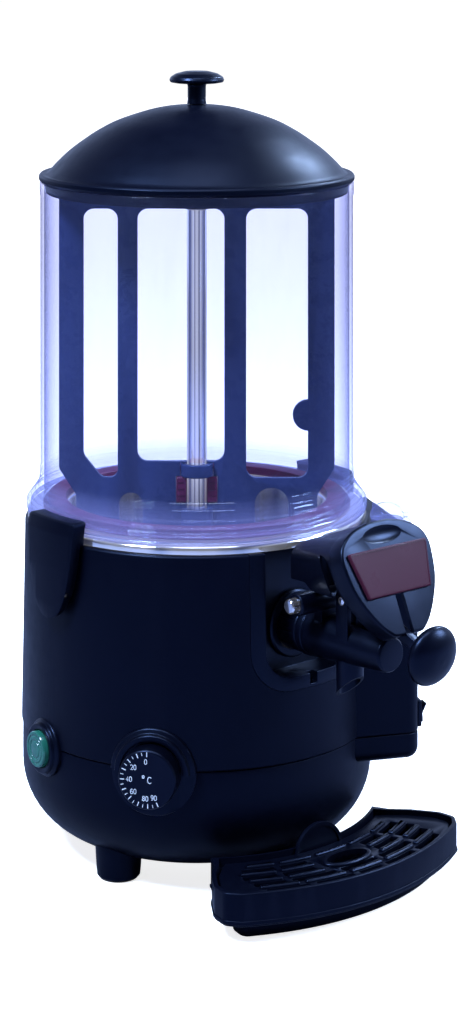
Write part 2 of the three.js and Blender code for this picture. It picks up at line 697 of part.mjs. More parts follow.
// ---------------------------------------------------------------- front insert
function frontInsert() {
  return cut(
    common(faced(frontU(0.3), 107, 150), caseCone(0.4, 100, CASE_TOP_Z)),
    faced(rounded(-39.4, 39.4, 142, 300, 20, 5), 110, 160),
    disc(107, 100, 260, LARGE_FACETS),
    forwardRod(18.2, 90, 120, TAP_Z)
  );
}
piece("front_insert", frontInsert(), black);

// ---------------------------------------------------------------- tap
const TAP_NUT_PROFILE = [
  [14.8, 110.6], [17.6, 110.6], [17.6, 129.4], [16.8, 130.8], [13.5, 130.8], [13.5, 124.2],
  [14.8, 124.2],
];
piece("tap_nut", forward(TAP_NUT_PROFILE, TAP_Z, 24), black);
piece("tap_seal", forward(ringProfile(9.5, 14.2, 118.2, 119.2), TAP_Z), red);

const TAP_TUBE_PROFILE = [
  [0, 119.5], [14.3, 119.5], [14.3, 123.8], [13.1, 123.8], [13.1, 131.1], [17.9, 131.1],
  [18.3, 132.2], [12.4, 210.4], [11, 212], [0, 212],
];
// [x, z] ear for the lever's pivot, +X side
const PIVOT_EAR = [[10.2, 170], [14, 172], [14, 208], [12.8, 211], [10.2, 211]];

function tapBody() {
  const body = join(
    forward(TAP_TUBE_PROFILE, TAP_Z, 24),
    disc(9.5, 130, 170, 24).translate(0, -SPOUT_F, 0), // outlet spout
    acrossRod(7.7, -33.5, 14, LOCK_F, LOCK_Z, 20), // sleeve for the lock pin
    frontBox(-12, 12, LOCK_F - 4, LOCK_F + 4, 182, 196), // web under the sleeve
    faced(PIVOT_EAR, 170, 182),
    faced(flipped(PIVOT_EAR), 170, 182)
  );
  // the spout's foot is cut at a slant that opens to the front
  const slant = box(-20, 20, -24, 24, -40, 0).rotateX(-rad(42)).translate(0, -SPOUT_F, 141.5);
  return cut(
    body,
    forwardRod(9.3, 118, 209.6, TAP_Z),
    disc(7.6, 120, 172).translate(0, -SPOUT_F, 0),
    slant,
    frontBox(-4.2, 4.2, 171.6, 197.6, 173, 190), // slot for the lever's toe
    acrossRod(5.5, -36, 11, LOCK_F, LOCK_Z),
    acrossRod(3.1, -30, 30, PIVOT_F, PIVOT_Z)
  );
}
piece("tap_body", tapBody(), black);

// plunger with a groove for its ring and a pocket for the lever's toe
function tapPlunger() {
  const profile = [
    [0, 158], [9, 158], [9, 160], [7.6, 160], [7.6, 162.2], [9, 162.2], [9, 182.4], [0, 182.4],
  ];
  return cut(
    forward(profile, TAP_Z),
    frontBox(-3.9, 3.9, 171.4, 180.4, 168.6, 190),
    frontBox(-3.9, 3.9, 167, 180.4, 175.5, 190)
  );
}
piece("tap_plunger", tapPlunger(), plungerLook);
piece("plunger_ring", forward(ringProfile(7.75, 9.1, 160.2, 162), TAP_Z), red);

const LOCK_PIN_PROFILE = [[0, -40.4], [4.4, -40.4], [5.2, -39.4], [5.2, 10.4], [0, 10.4]];
piece("lock_pin", across(LOCK_PIN_PROFILE, LOCK_F, LOCK_Z), steel);
piece("lever_pivot", acrossRod(2.85, -14.4, 14.4, PIVOT_F, PIVOT_Z), steel);

// coil of the return spring round the lever hub
function returnSpring() {
  const steps = 30;
  const stepsPerTurn = 12;
  const coilR = 7.6;
  const wireR = 0.7;
  const startX = 4.3;
  const length = 4.6;
  const path = [];
  for (let i = 0; i <= steps; i++) {
    const angle = (2 * Math.PI * i) / stepsPerTurn;
    path.push(new THREE.Vector3(
      startX + (i * length) / steps,
      -PIVOT_F + coilR * Math.cos(angle),
      PIVOT_Z + coilR * Math.sin(angle)
    ));
  }
  const section = [];
  for (let i = 0; i < 4; i++) {
    const angle = (i * Math.PI) / 2;
    section.push(new THREE.Vector2(wireR * Math.cos(angle), wireR * Math.sin(angle)));
  }
  return new THREE.ExtrudeGeometry(new THREE.Shape(section), {
    steps,
    bevelEnabled: false,
    extrudePath: new THREE.CatmullRomCurve3(path),
  });
}
piece("return_spring", returnSpring(), steel);

// [f, z] forward arm, and the toe that works the plunger
const LEVER_ARM = [
  [176, 199.4], [200, 194], [242.6, 179.2], [245, 185.6], [204, 203.4], [178, 210.6],
];
const LEVER_TOE = [
  [172.4, 204], [179.6, 204], [179.2, 172], [177.6, 170], [174.4, 170], [172.8, 172],
];
function tapLever() {
  const body = join(
    across(ringProfile(LEVER_BORE_R, 5.8, -9.6, 9.6), PIVOT_F, PIVOT_Z, 16),
    sideways(LEVER_ARM, -3, 3),
    sideways(LEVER_TOE, -3, 3)
  );
  return cut(body, acrossRod(LEVER_BORE_R, -60, 60, PIVOT_F, PIVOT_Z, 16));
}
piece("tap_lever", tapLever(), black);

// oblate handle; profile is [radius, distance along the arm]
const BALL_PROFILE = [
  [0, -10.4], [8, -9.6], [14.8, -7], [19.4, -3.4], [21.2, 0.4], [19.4, 4.2], [14.8, 7.8],
  [8, 10.4], [0, 11.2],
];
const leverBall = forward(BALL_PROFILE, 0, 20).rotateX(rad(11)).translate(0, -251, 181.8);
piece("lever_ball", cut(leverBall, frontBox(-3.4, 3.4, 200, 246.4, 172, 192)), black);

// ---------------------------------------------------------------- tap cover
// These three tables are insetOutline rows.
// shield face, [x, z] of the +X half
const COVER_HALF = [
  [14.5, 192.6, -1, 1], [22.5, 200, -1, 0.6], [30.5, 210.4, -1, 0],
  [38.6, 226, -1, 0], [42, 243, -1, 0], [41.6, 253, -1, -0.3],
  [36.6, 261, -1, -0.7], [25, 267.8, 0, -1], [9, 271.4, 0, -1],
];
// hood plan, [x, y] of the +X half
const HOOD_HALF = [[15, -110, -1, 0], [17, -140, -1, 0], [38, -190, -1, 0], [40, -206, -1, 0]];
// hood side view, [f, z]
const HOOD_SIDE = [
  [112, 216, 0, -1], [112, 230, 0, -1], [133, 234, 0, -1], [160, 249, 0, -1],
  [186, 260.5, 0, -1], [206, 262, 0, -1], [206, 216, 0, 0],
];

// leans a part back; it is built with f = 0 on the face plane
const lean = (geometry) =>
  geometry
    .translate(0, 0, -COVER_Z)
    .rotateX(-rad(COVER_LEAN))
    .translate(0, -COVER_F, COVER_Z);
const coverSlab = (inset, f0, f1) =>
  lean(faced(mirrored(insetOutline(COVER_HALF, inset)), f0, f1));
const coverHollow = () => coverSlab(COVER_WALL, -30, -3);

// closes the space above the tap, narrower towards the casing
function hood() {
  const hoodBody = (planInset, sideInset, z0, z1) =>
    common(
      raised(mirrored(insetOutline(HOOD_HALF, planInset)), z0, z1),
      sideways(insetOutline(HOOD_SIDE, sideInset), -60, 60)
    );
  return cut(
    hoodBody(0, 0, 200, 275),
    hoodBody(COVER_WALL, 3.2, 190, 280),
    disc(CASE_TOP_R + 3, 200, 260, LARGE_FACETS),
    coverHollow(),
    coverSlab(-20, -3, 80) // trims whatever would stand through the face
  );
}

function tapCover() {
  const shield = cut(coverSlab(0, -COVER_DEPTH, 0), coverHollow());
  return cut(
    join(shield, hood()),
    frontBox(-4, 4, 190, 250, 180, 218), // slot for the lever
    forwardRod(15, 150, 214, TAP_Z) // clearance round the tap tube's nose
  );
}
piece("tap_cover", tapCover(), black);

// [x, z], +X half
const BADGE_HALF = [[28.6, 220.4], [29.4, 221.4], [37.2, 251.8], [36.2, 252.8]];
piece("badge_plate", lean(faced(mirrored(BADGE_HALF), 0.3, 2.6)), badgeLook);

// ---------------------------------------------------------------- drip tray
// insetOutline rows [x, y, ...]: +X end, from the front arc back to the rear arc
const TRAY_END = [
  [111, -164, -1.25, 0], [109, -151, -1.3, 0],
  [96.6, -133.4, -1.3, -0.1], [84, -121.6, -1.3, -0.3],
];
function trayOutline(inset) {
  const frontR = TRAY_FRONT_R - inset;
  const frontHalf = 30.3 - THREE.MathUtils.radToDeg((inset * 1.05) / frontR);
  const rearR = TRAY_REAR_R + inset;
  const rearHalf = THREE.MathUtils.radToDeg(Math.asin((78 - inset * 1.2) / rearR));
  const end = insetOutline(TRAY_END, inset);
  return [
    ...arc(frontR, -frontHalf, frontHalf, 14),
    ...end,
    ...arc(rearR, rearHalf, -rearHalf, 10, 0),
    ...flipped(end),
  ];
}

function dripTray() {
  const shell = cut(
    join(
      raised(trayOutline(0), TRAY_STEP_Z, TRAY_TOP_Z),
      raised(trayOutline(13), TRAY_BOTTOM_Z, TRAY_STEP_Z + 1)
    ),
    raised(trayOutline(2.6), TRAY_TOP_Z - 6.6, TRAY_TOP_Z + 5), // seat for the grid
    raised(trayOutline(5.4), TRAY_STEP_Z + TRAY_FLOOR, TRAY_TOP_Z),
    raised(trayOutline(15.6), TRAY_BOTTOM_Z + TRAY_FLOOR, TRAY_TOP_Z)
  );
  // round-topped upstand at the back, against the casing
  const upstand = [];
  for (let i = 0; i <= 12; i++) {
    const angle = (Math.PI * i) / 12;
    upstand.push([22 * Math.cos(angle), 15 + 21 * Math.sin(angle)]);
  }
  return join(shell, faced(upstand, 134.8, 137.6));
}
piece("drip_tray", dripTray(), black);

// curved slots: [inner radius, outer radius, [start, end] degrees of each slot]
const GRID_ROWS = [
  [193, 198.6, [[-24.6, -15], [-13.6, -4.4], [-3, 3], [4.4, 13.6], [15, 24.6]]],
  [181, 187.4, [[-26.4, -19], [-17.6, -6.6], [-5.2, 5.2], [6.6, 17.6], [19, 26.4]]],
  [169, 175.4, [[-28, -19.6], [-18.2, -9.6], [9.6, 18.2], [19.6, 28]]],
  [157, 163.4, [[-27.4, -18.6], [-17.2, -9.6], [9.6, 17.2], [18.6, 27.4]]],
];
// loose grid: rows of slots, the two rear rows either side of an oval
function dripGrid() {
  const slots = GRID_ROWS.flatMap(([innerR, outerR, spans]) =>
    spans.map(([start, end]) => [...arc(outerR, start, end, 3), ...arc(innerR, end, start, 3)])
  );
  const oval = [];
  for (let i = 0; i < 16; i++) {
    const angle = (2 * Math.PI * i) / 16;
    oval.push([18 * Math.cos(angle), -167 + 8 * Math.sin(angle)]);
  }
  return raised(trayOutline(4.8), TRAY_TOP_Z - 6.2, TRAY_TOP_Z - 3, [...slots, oval]);
}
piece("drip_grid", dripGrid(), black);

export default group;
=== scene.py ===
import bpy, bmesh, json, math
from mathutils import Matrix, Vector


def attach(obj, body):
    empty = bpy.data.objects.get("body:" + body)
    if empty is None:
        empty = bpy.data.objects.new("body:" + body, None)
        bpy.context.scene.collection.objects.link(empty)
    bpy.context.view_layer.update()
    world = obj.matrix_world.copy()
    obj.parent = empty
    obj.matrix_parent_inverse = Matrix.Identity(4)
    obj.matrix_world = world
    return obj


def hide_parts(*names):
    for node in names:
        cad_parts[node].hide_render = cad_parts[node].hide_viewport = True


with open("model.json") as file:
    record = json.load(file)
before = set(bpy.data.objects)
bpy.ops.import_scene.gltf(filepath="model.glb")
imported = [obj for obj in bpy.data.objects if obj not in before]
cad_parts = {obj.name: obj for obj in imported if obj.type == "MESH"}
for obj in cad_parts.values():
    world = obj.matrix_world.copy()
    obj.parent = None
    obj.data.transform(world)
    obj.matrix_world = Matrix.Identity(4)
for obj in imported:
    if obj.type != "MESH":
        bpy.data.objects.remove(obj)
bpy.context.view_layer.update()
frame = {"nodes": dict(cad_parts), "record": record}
NODES = frame["nodes"]
S = 0.001
rad = math.radians

# ------------------------------------------------------------------ materials
def nt(name):
    m = bpy.data.materials.new(name)
    m.use_nodes = True
    t = m.node_tree
    for n in list(t.nodes):
        t.nodes.remove(n)
    out = t.nodes.new("ShaderNodeOutputMaterial")
    return m, t, out

def node(t, kind, **kw):
    n = t.nodes.new(kind)
    for k, v in kw.items():
        setattr(n, k, v)
    return n

def coords(t, scale=(1, 1, 1)):
    c = node(t, "ShaderNodeTexCoord")
    mp = node(t, "ShaderNodeMapping")
    mp.inputs["Scale"].default_value = scale
    t.links.new(c.outputs["Object"], mp.inputs["Vector"])
    return mp.outputs["Vector"]

def noise(t, vec, scale, detail=4, rough=0.6):
    n = node(t, "ShaderNodeTexNoise")
    n.inputs["Scale"].default_value = scale
    n.inputs["Detail"].default_value = detail
    n.inputs["Roughness"].default_value = rough
    t.links.new(vec, n.inputs["Vector"])
    return n.outputs["Fac"]

def remap(t, val, a, b, c, d):
    n = node(t, "ShaderNodeMapRange")
    n.inputs["From Min"].default_value = a
    n.inputs["From Max"].default_value = b
    n.inputs["To Min"].default_value = c
    n.inputs["To Max"].default_value = d
    t.links.new(val, n.inputs["Value"])
    return n.outputs["Result"]

def mixc(t, fac, a, b):
    n = node(t, "ShaderNodeMix", data_type="RGBA")
    if hasattr(fac, "is_output"):
        t.links.new(fac, n.inputs[0])
    else:
        n.inputs[0].default_value = fac
    for sock, v in ((n.inputs[6], a), (n.inputs[7], b)):
        if hasattr(v, "is_output"):
            t.links.new(v, sock)
        else:
            sock.default_value = (*v[:3], 1)
    return n.outputs[2]

def bump(t, h, dist, strength=1.0, normal=None):
    n = node(t, "ShaderNodeBump")
    n.inputs["Distance"].default_value = dist
    n.inputs["Strength"].default_value = strength
    t.links.new(h, n.inputs["Height"])
    if normal is not None:
        t.links.new(normal, n.inputs["Normal"])
    return n.outputs["Normal"]

def edge_wear(t, lo=0.52, hi=0.6):
    g = node(t, "ShaderNodeNewGeometry")
    return remap(t, g.outputs["Pointiness"], lo, hi, 0, 1)

def plastic(name, base, alt, rough=(0.3, 0.42), grain=0.00004, grain_scale=900, spec=0.5, tint=(0.72, 0.8, 1.0), wear=0.25, coat=0.0):
    m, t, out = nt(name)
    p = node(t, "ShaderNodeBsdfPrincipled")
    v = coords(t)
    big = noise(t, v, 9, 5, 0.6)
    mid = noise(t, v, 70, 6, 0.7)
    fine = noise(t, v, grain_scale, 2, 0.5)
    c = mixc(t, remap(t, big, 0.35, 0.65, 0, 1), base, alt)
    e = edge_wear(t)
    wearc = tuple(min(1, x * 2.4 + 0.004) for x in base)
    mul = node(t, "ShaderNodeMath", operation="MULTIPLY")
    t.links.new(e, mul.inputs[0])
    mul.inputs[1].default_value = wear
    c = mixc(t, mul.outputs[0], c, wearc)
    t.links.new(c, p.inputs["Base Color"])
    r = remap(t, mid, 0.3, 0.7, rough[0], rough[1])
    t.links.new(r, p.inputs["Roughness"])
    p.inputs["Specular IOR Level"].default_value = spec
    p.inputs["Specular Tint"].default_value = (*tint, 1)
    p.inputs["Coat Weight"].default_value = coat
    p.inputs["Coat Roughness"].default_value = 0.12
    n1 = bump(t, fine, grain, 0.6)
    n2 = bump(t, mid, 0.00006, 0.25, n1)
    t.links.new(n2, p.inputs["Normal"])
    t.links.new(p.outputs[0], out.inputs[0])
    return m

# steel with a painted reflection glow in its emission; the last argument sets how strongly it glows
def steel(name, base=(0.72, 0.73, 0.76), rough=(0.06, 0.16), stretch=(1, 1, 60), scale=40, depth=0.00001, painted_reflection_glow=0.66):
    m, t, out = nt(name)
    p = node(t, "ShaderNodeBsdfPrincipled")
    p.inputs["Metallic"].default_value = 1
    v = coords(t, stretch)
    streak = noise(t, v, scale, 5, 0.65)
    v2 = coords(t)
    blot = noise(t, v2, 22, 4, 0.6)
    c = mixc(t, remap(t, blot, 0.35, 0.65, 0, 1), base, tuple(x * 0.86 for x in base))
    t.links.new(c, p.inputs["Base Color"])
    r = remap(t, streak, 0.3, 0.7, rough[0], rough[1])
    t.links.new(r, p.inputs["Roughness"])
    t.links.new(bump(t, streak, depth, 0.4), p.inputs["Normal"])
    # painted reflection: an emission glow coloured by the reflection direction imitates the soft boxes and dark flags
    # of the studio
    rc = node(t, "ShaderNodeTexCoord")
    mp = node(t, "ShaderNodeMapping")
    mp.vector_type = "VECTOR"
    mp.inputs["Rotation"].default_value = (0, 0, rad(39.5))
    t.links.new(rc.outputs["Reflection"], mp.inputs["Vector"])
    sx = node(t, "ShaderNodeSeparateXYZ")
    t.links.new(mp.outputs[0], sx.inputs[0])
    ramp = node(t, "ShaderNodeValToRGB")
    ramp.color_ramp.interpolation = "EASE"
    els = ramp.color_ramp.elements
    els[0].position, els[0].color = 0.0, (0.10, 0.11, 0.2, 1)
    els[1].position, els[1].color = 1.0, (0.12, 0.13, 0.22, 1)
    for pos, v0 in ((0.10, 0.75), (0.22, 0.9), (0.30, 0.12), (0.38, 0.85), (0.58, 0.95), (0.66, 0.5), (0.74, 0.10), (0.84, 0.8), (0.93, 0.5)):
        e = els.new(pos)
        e.color = (v0 * 0.86, v0 * 0.89, v0, 1)
    t.links.new(remap(t, sx.outputs[0], -1, 1, 0, 1), ramp.inputs[0])
    t.links.new(ramp.outputs[0], p.inputs["Emission Color"])
    # painted shade: the painted reflection glow fades towards the bottom, so low parts such as the inside of the pan
    # stay dark
    wz = node(t, "ShaderNodeNewGeometry")
    ws = node(t, "ShaderNodeSeparateXYZ")
    t.links.new(wz.outputs["Position"], ws.inputs[0])
    t.links.new(remap(t, ws.outputs[2], 0.225, 0.262, painted_reflection_glow * 0.12, painted_reflection_glow), p.inputs["Emission Strength"])
    t.links.new(p.outputs[0], out.inputs[0])
    return m

def clear(name, edge=(0.60, 0.60, 0.80), face=(0.905, 0.915, 1.0), gloss=1.0, power=4.0, rough=0.03):
    """Moulded clear plastic: tinted where the wall is seen on edge, faint flow marks and scuffs."""
    m, t, out = nt(name)
    lw = node(t, "ShaderNodeLayerWeight")
    lw.inputs["Blend"].default_value = 0.5
    pw = node(t, "ShaderNodeMath", operation="POWER")
    t.links.new(lw.outputs["Facing"], pw.inputs[0])
    pw.inputs[1].default_value = power
    v = coords(t, (1, 1, 0.25))
    scuff = noise(t, v, 60, 6, 0.7)
    c = mixc(t, pw.outputs[0], face, edge)
    tint = mixc(t, remap(t, scuff, 0.45, 0.75, 0, 0.35), c, (0.86, 0.87, 0.95))
    tr = node(t, "ShaderNodeBsdfTransparent")
    t.links.new(tint, tr.inputs[0])
    gl = node(t, "ShaderNodeBsdfGlossy")
    gl.inputs["Color"].default_value = (0.9, 0.93, 1, 1)
    t.links.new(remap(t, scuff, 0.3, 0.8, rough, rough * 4), gl.inputs["Roughness"])
    fr = node(t, "ShaderNodeLayerWeight")
    fr.inputs["Blend"].default_value = 0.5
    wav = noise(t, coords(t, (1, 1, 0.4)), 25, 2, 0.5)
    nrm = bump(t, wav, 0.0002, 0.25)
    t.links.new(nrm, gl.inputs["Normal"])
    t.links.new(nrm, fr.inputs["Normal"])
    p5 = node(t, "ShaderNodeMath", operation="POWER")
    t.links.new(fr.outputs["Facing"], p5.inputs[0])
    p5.inputs[1].default_value = 5.0
    mu = node(t, "ShaderNodeMath", operation="MULTIPLY_ADD")
    t.links.new(p5.outputs[0], mu.inputs[0])
    mu.inputs[1].default_value = 0.5 * gloss
    mu.inputs[2].default_value = 0.035 * gloss
    mx = node(t, "ShaderNodeMixShader")
    t.links.new(mu.outputs[0], mx.inputs[0])
    t.links.new(tr.outputs[0], mx.inputs[1])
    t.links.new(gl.outputs[0], mx.inputs[2])
    # the thick foot of the moulding scatters a little light
    haze = node(t, "ShaderNodeBsdfTranslucent")
    haze.inputs[0].default_value = (0.20, 0.20, 0.34, 1)
    haze2 = node(t, "ShaderNodeBsdfDiffuse")
    haze2.inputs[0].default_value = (0.16, 0.16, 0.28, 1)
    hs = node(t, "ShaderNodeAddShader")
    t.links.new(haze.outputs[0], hs.inputs[0])
    t.links.new(haze2.outputs[0], hs.inputs[1])
    tc = node(t, "ShaderNodeTexCoord")
    sp = node(t, "ShaderNodeSeparateXYZ")
    t.links.new(tc.outputs["Object"], sp.inputs[0])
    low = remap(t, sp.outputs[2], 0.252, 0.268, 0.24, 0.02)
    hm = node(t, "ShaderNodeMixShader")
    t.links.new(low, hm.inputs[0])
    t.links.new(mx.outputs[0], hm.inputs[1])
    t.links.new(hs.outputs[0], hm.inputs[2])
    t.links.new(hm.outputs[0], out.inputs[0])
    return m

def silicone(name, base=(0.16, 0.006, 0.045)):
    m, t, out = nt(name)
    p = node(t, "ShaderNodeBsdfPrincipled")
    v = coords(t)
    b = noise(t, v, 30, 5, 0.6)
    c = mixc(t, remap(t, b, 0.3, 0.7, 0, 1), base, tuple(x * 0.6 for x in base))
    t.links.new(c, p.inputs["Base Color"])
    t.links.new(remap(t, b, 0.3, 0.7, 0.28, 0.5), p.inputs["Roughness"])
    p.inputs["Subsurface Weight"].default_value = 0.08
    p.inputs["Subsurface Radius"].default_value = (0.004, 0.001, 0.001)
    t.links.new(bump(t, noise(t, v, 500, 2, 0.5), 0.00005, 0.4), p.inputs["Normal"])
    t.links.new(p.outputs[0], out.inputs[0])
    return m

M = {}
M["casing_black"] = plastic("casing_black", (0.0006, 0.0009, 0.0036), (0.0009, 0.0013, 0.0048), (0.34, 0.44), 0.00005, 1100, 0.15, (0.42, 0.56, 1.0))
M["trim_black"] = plastic("trim_black", (0.0006, 0.0009, 0.0032), (0.0009, 0.0012, 0.0042), (0.28, 0.38), 0.00004, 1300, 0.24, (0.42, 0.56, 1.0))
M["stirrer_plastic"] = plastic("stirrer_plastic", (0.029, 0.042, 0.104), (0.034, 0.049, 0.118), (0.22, 0.34), 0.00003, 800, 0.25, (0.6, 0.74, 1.0), wear=0.1)
M["polished_steel"] = steel("polished_steel", (0.74, 0.74, 0.77), (0.05, 0.13))
M["satin_steel"] = steel("satin_steel", (0.6, 0.61, 0.64), (0.18, 0.34))
M["plated_steel"] = steel("plated_steel", (0.55, 0.56, 0.58), (0.25, 0.45), (1, 1, 4), 60)
M["grey_casting"] = steel("grey_casting", (0.42, 0.43, 0.45), (0.4, 0.6), (1, 1, 1), 300, 0.00006)
M["clear_tank"] = clear("clear_tank")
M["red_silicone"] = silicone("red_silicone")
M["black_rubber"] = plastic("black_rubber", (0.012, 0.012, 0.014), (0.018, 0.018, 0.02), (0.6, 0.8), 0.00012, 500, 0.3, (1, 1, 1), 0.1)
M["white_nylon"] = plastic("white_nylon", (0.72, 0.69, 0.6), (0.66, 0.63, 0.55), (0.4, 0.55), 0.00005, 400, 0.4, (1, 1, 1), 0.0)

def badge_material():
    m, t, out = nt("badge_maroon")
    p = node(t, "ShaderNodeBsdfPrincipled")
    v = coords(t)
    b = noise(t, v, 35, 4, 0.6)
    c = mixc(t, remap(t, b, 0.3, 0.7, 0, 1), (0.050, 0.0105, 0.022), (0.043, 0.0090, 0.018))
    t.links.new(c, p.inputs["Base Color"])
    t.links.new(remap(t, b, 0.3, 0.7, 0.26, 0.36), p.inputs["Roughness"])
    p.inputs["Specular IOR Level"].default_value = 0.05
    p.inputs["Coat Weight"].default_value = 0.0
    p.inputs["Coat Roughness"].default_value = 0.1
    t.links.new(bump(t, noise(t, v, 700, 2, 0.5), 0.00003, 0.3), p.inputs["Normal"])
    t.links.new(p.outputs[0], out.inputs[0])
    return m
M["badge_maroon"] = badge_material()

def lens_material():
    m, t, out = nt("green_lens")
    p = node(t, "ShaderNodeBsdfPrincipled")
    v = coords(t)
    b = noise(t, v, 90, 4, 0.6)
    c = mixc(t, remap(t, b, 0.3, 0.7, 0, 1), (0.010, 0.085, 0.062), (0.018, 0.13, 0.09))
    t.links.new(c, p.inputs["Base Color"])
    t.links.new(remap(t, b, 0.3, 0.7, 0.12, 0.24), p.inputs["Roughness"])
    t.links.new(c, p.inputs["Emission Color"])
    p.inputs["Emission Strength"].default_value = 0.12
    p.inputs["Coat Weight"].default_value = 0.15
    t.links.new(bump(t, b, 0.00008, 0.3), p.inputs["Normal"])
    t.links.new(p.outputs[0], out.inputs[0])
    return m
M["green_lens"] = lens_material()
M["white_print"] = plastic("white_print", (0.82, 0.84, 0.88), (0.75, 0.77, 0.82), (0.45, 0.6), 0.00002, 900, 0.3, (1, 1, 1), 0.0)

SLOT = {s["node"]: s["material_slot"] for s in frame["record"]["subparts"]}
for n, o in NODES.items():
    o.data.materials.clear()
    o.data.materials.append(M[SLOT[n]])
BODY = {n: b for b, ns in frame["record"]["behaviour"]["bodies"].items() for n in ns}

# ------------------------------------------------------------------ mesh helpers
def new_object(name, verts, faces, mat=None):
    me = bpy.data.meshes.new(name)
    me.from_pydata([tuple(c * S for c in v) for v in verts], [], faces)
    me.update()
    o = bpy.data.objects.new(name, me)
    bpy.context.scene.collection.objects.link(o)
    if mat:
        me.materials.append(M[mat] if isinstance(mat, str) else mat)
    return o

def clean(o, dist=0.00001):
    bm = bmesh.new()
    bm.from_mesh(o.data)
    bmesh.ops.remove_doubles(bm, verts=bm.verts, dist=dist)
    bmesh.ops.recalc_face_normals(bm, faces=bm.faces)
    bm.to_mesh(o.data)
    bm.free()
    o.data.update()
    return o

def smooth(o, angle=32):
    bm = bmesh.new()
    bm.from_mesh(o.data)
    for f in bm.faces:
        f.smooth = True
    lim = rad(angle)
    for e in bm.edges:
        if len(e.link_faces) == 2:
            e.smooth = e.calc_face_angle(0) < lim
    bm.to_mesh(o.data)
    bm.free()
    return o

def fillet(points, radii, n=5, closed=True):
    """Round the corners of a polyline; radii is one number or one per point."""
    out = []
    k = len(points)
    for i, p in enumerate(points):
        r = radii[i] if isinstance(radii, (list, tuple)) else radii
        if r <= 0 or (not closed and i in (0, k - 1)):
            out.append(tuple(p))
            continue
        a, b, c = Vector(points[i - 1]), Vector(p), Vector(points[(i + 1) % k])
        u, v = (a - b), (c - b)
        lu, lv = u.length, v.length
        if lu < 1e-6 or lv < 1e-6:
            out.append(tuple(p))
            continue
        u.normalize(); v.normalize()
        ang = math.acos(max(-1, min(1, u.dot(v))))
        if ang > math.pi - 0.02:
            out.append(tuple(p))
            continue
        d = min(r / math.tan(ang / 2), lu * 0.49, lv * 0.49)
        rr = d * math.tan(ang / 2)
        bis = (u + v).normalized()
        ctr = b + bis * (rr / math.sin(ang / 2))
        s, e = b + u * d - ctr, b + v * d - ctr
        a0 = math.atan2(s.y, s.x)
        a1 = math.atan2(e.y, e.x)
        da = a1 - a0
        while da > math.pi:
            da -= 2 * math.pi
        while da < -math.pi:
            da += 2 * math.pi
        for j in range(n + 1):
            t = a0 + da * j / n
            out.append((ctr.x + rr * math.cos(t), ctr.y + rr * math.sin(t)))
    return out

def lathe(name, profile, seg=144, mat=None, closed=True):
    """Revolve (r, z) points about Z. A closed profile makes a ring; an open one must start and end on the axis."""
    verts, faces = [], []
    rows = []
    for r, z in profile:
        if r < 1e-6:
            rows.append([len(verts)])
            verts.append((0, 0, z))
        else:
            base = len(verts)
            for i in range(seg):
                a = 2 * math.pi * i / seg
                verts.append((r * math.cos(a), r * math.sin(a), z))
            rows.append(list(range(base, base + seg)))
    k = len(rows)
    for j in range(k if closed else k - 1):
        A, B = rows[j], rows[(j + 1) % k]
        for i in range(seg):
            i2 = (i + 1) % seg
            if len(A) == 1 and len(B) == 1:
                break
            if len(A) == 1:
                faces.append((A[0], B[i2], B[i]))
            elif len(B) == 1:
                faces.append((A[i], A[i2], B[0]))
            else:
                faces.append((A[i], A[i2], B[i2], B[i]))
    o = new_object(name, verts, faces, mat)
    return clean(o)

def prism(name, outline, z0, z1, mat=None, holes=()):
    """Outline in XY raised along Z, with holes, as a clean closed solid."""
    cu = bpy.data.curves.new(name + "_c", "CURVE")
    cu.dimensions = "2D"
    cu.fill_mode = "BOTH"
    for pts in [outline, *holes]:
        sp = cu.splines.new("POLY")
        sp.points.add(len(pts) - 1)
        for i, (x, y) in enumerate(pts):
            sp.points[i].co = (x * S, y * S, 0, 1)
        sp.use_cyclic_u = True
    cu.extrude = (z1 - z0) / 2 * S
    tmp = bpy.data.objects.new(name + "_t", cu)
    bpy.context.scene.collection.objects.link(tmp)
    dg = bpy.context.evaluated_depsgraph_get()
    me = bpy.data.meshes.new_from_object(tmp.evaluated_get(dg))
    bpy.data.objects.remove(tmp)
    bpy.data.curves.remove(cu)
    me.name = name
    me.transform(Matrix.Translation((0, 0, (z0 + z1) / 2 * S)))
    me.materials.clear()
    o = bpy.data.objects.new(name, me)
    bpy.context.scene.collection.objects.link(o)
    if mat:
        me.materials.append(M[mat] if isinstance(mat, str) else mat)
    clean(o, 0.000001)
    bm = bmesh.new()
    bm.from_mesh(o.data)
    bmesh.ops.dissolve_limit(bm, angle_limit=0.001, verts=bm.verts, edges=bm.edges)
    bm.to_mesh(o.data)
    bm.free()
    return o

def xform(o, m):
    o.data.transform(m)
    o.data.update()
    return o

def turn_x(o, deg):
    return xform(o, Matrix.Rotation(rad(deg), 4, "X"))

def faced(name, outline, f0, f1, mat=None, holes=()):
    """Outline in X and Z carried forward from f0 to f1 (front is -Y)."""
    o = prism(name, outline, f0, f1, mat, holes)
    return turn_x(o, 90)

def forward(name, profile, z, x=0, seg=64, mat=None, closed=True):
    """Profile of (r, f): turned about an axis pointing forward."""
    o = lathe(name, profile, seg, mat, closed)
    turn_x(o, 90)
    return xform(o, Matrix.Translation((x * S, 0, z * S)))

def across(name, profile, f, z, seg=48, mat=None, closed=True):
    o = lathe(name, profile, seg, mat, closed)
    xform(o, Matrix.Rotation(rad(90), 4, "Y"))
    return xform(o, Matrix.Translation((0, -f * S, z * S)))

def swing(o, deg):
    return xform(o, Matrix.Rotation(-rad(deg), 4, "Z"))

def block(name, x0, x1, y0, y1, z0, z1, mat=None):
    v = [(x, y, z) for x in (x0, x1) for y in (y0, y1) for z in (z0, z1)]
    f = [(0, 1, 3, 2), (4, 6, 7, 5), (0, 4, 5, 1), (2, 3, 7, 6), (0, 2, 6, 4), (1, 5, 7, 3)]
    return clean(new_object(name, v, f, mat))

def rrect(x0, x1, y0, y1, r, n=6):
    return fillet([(x0, y0), (x1, y0), (x1, y1), (x0, y1)], r, n)

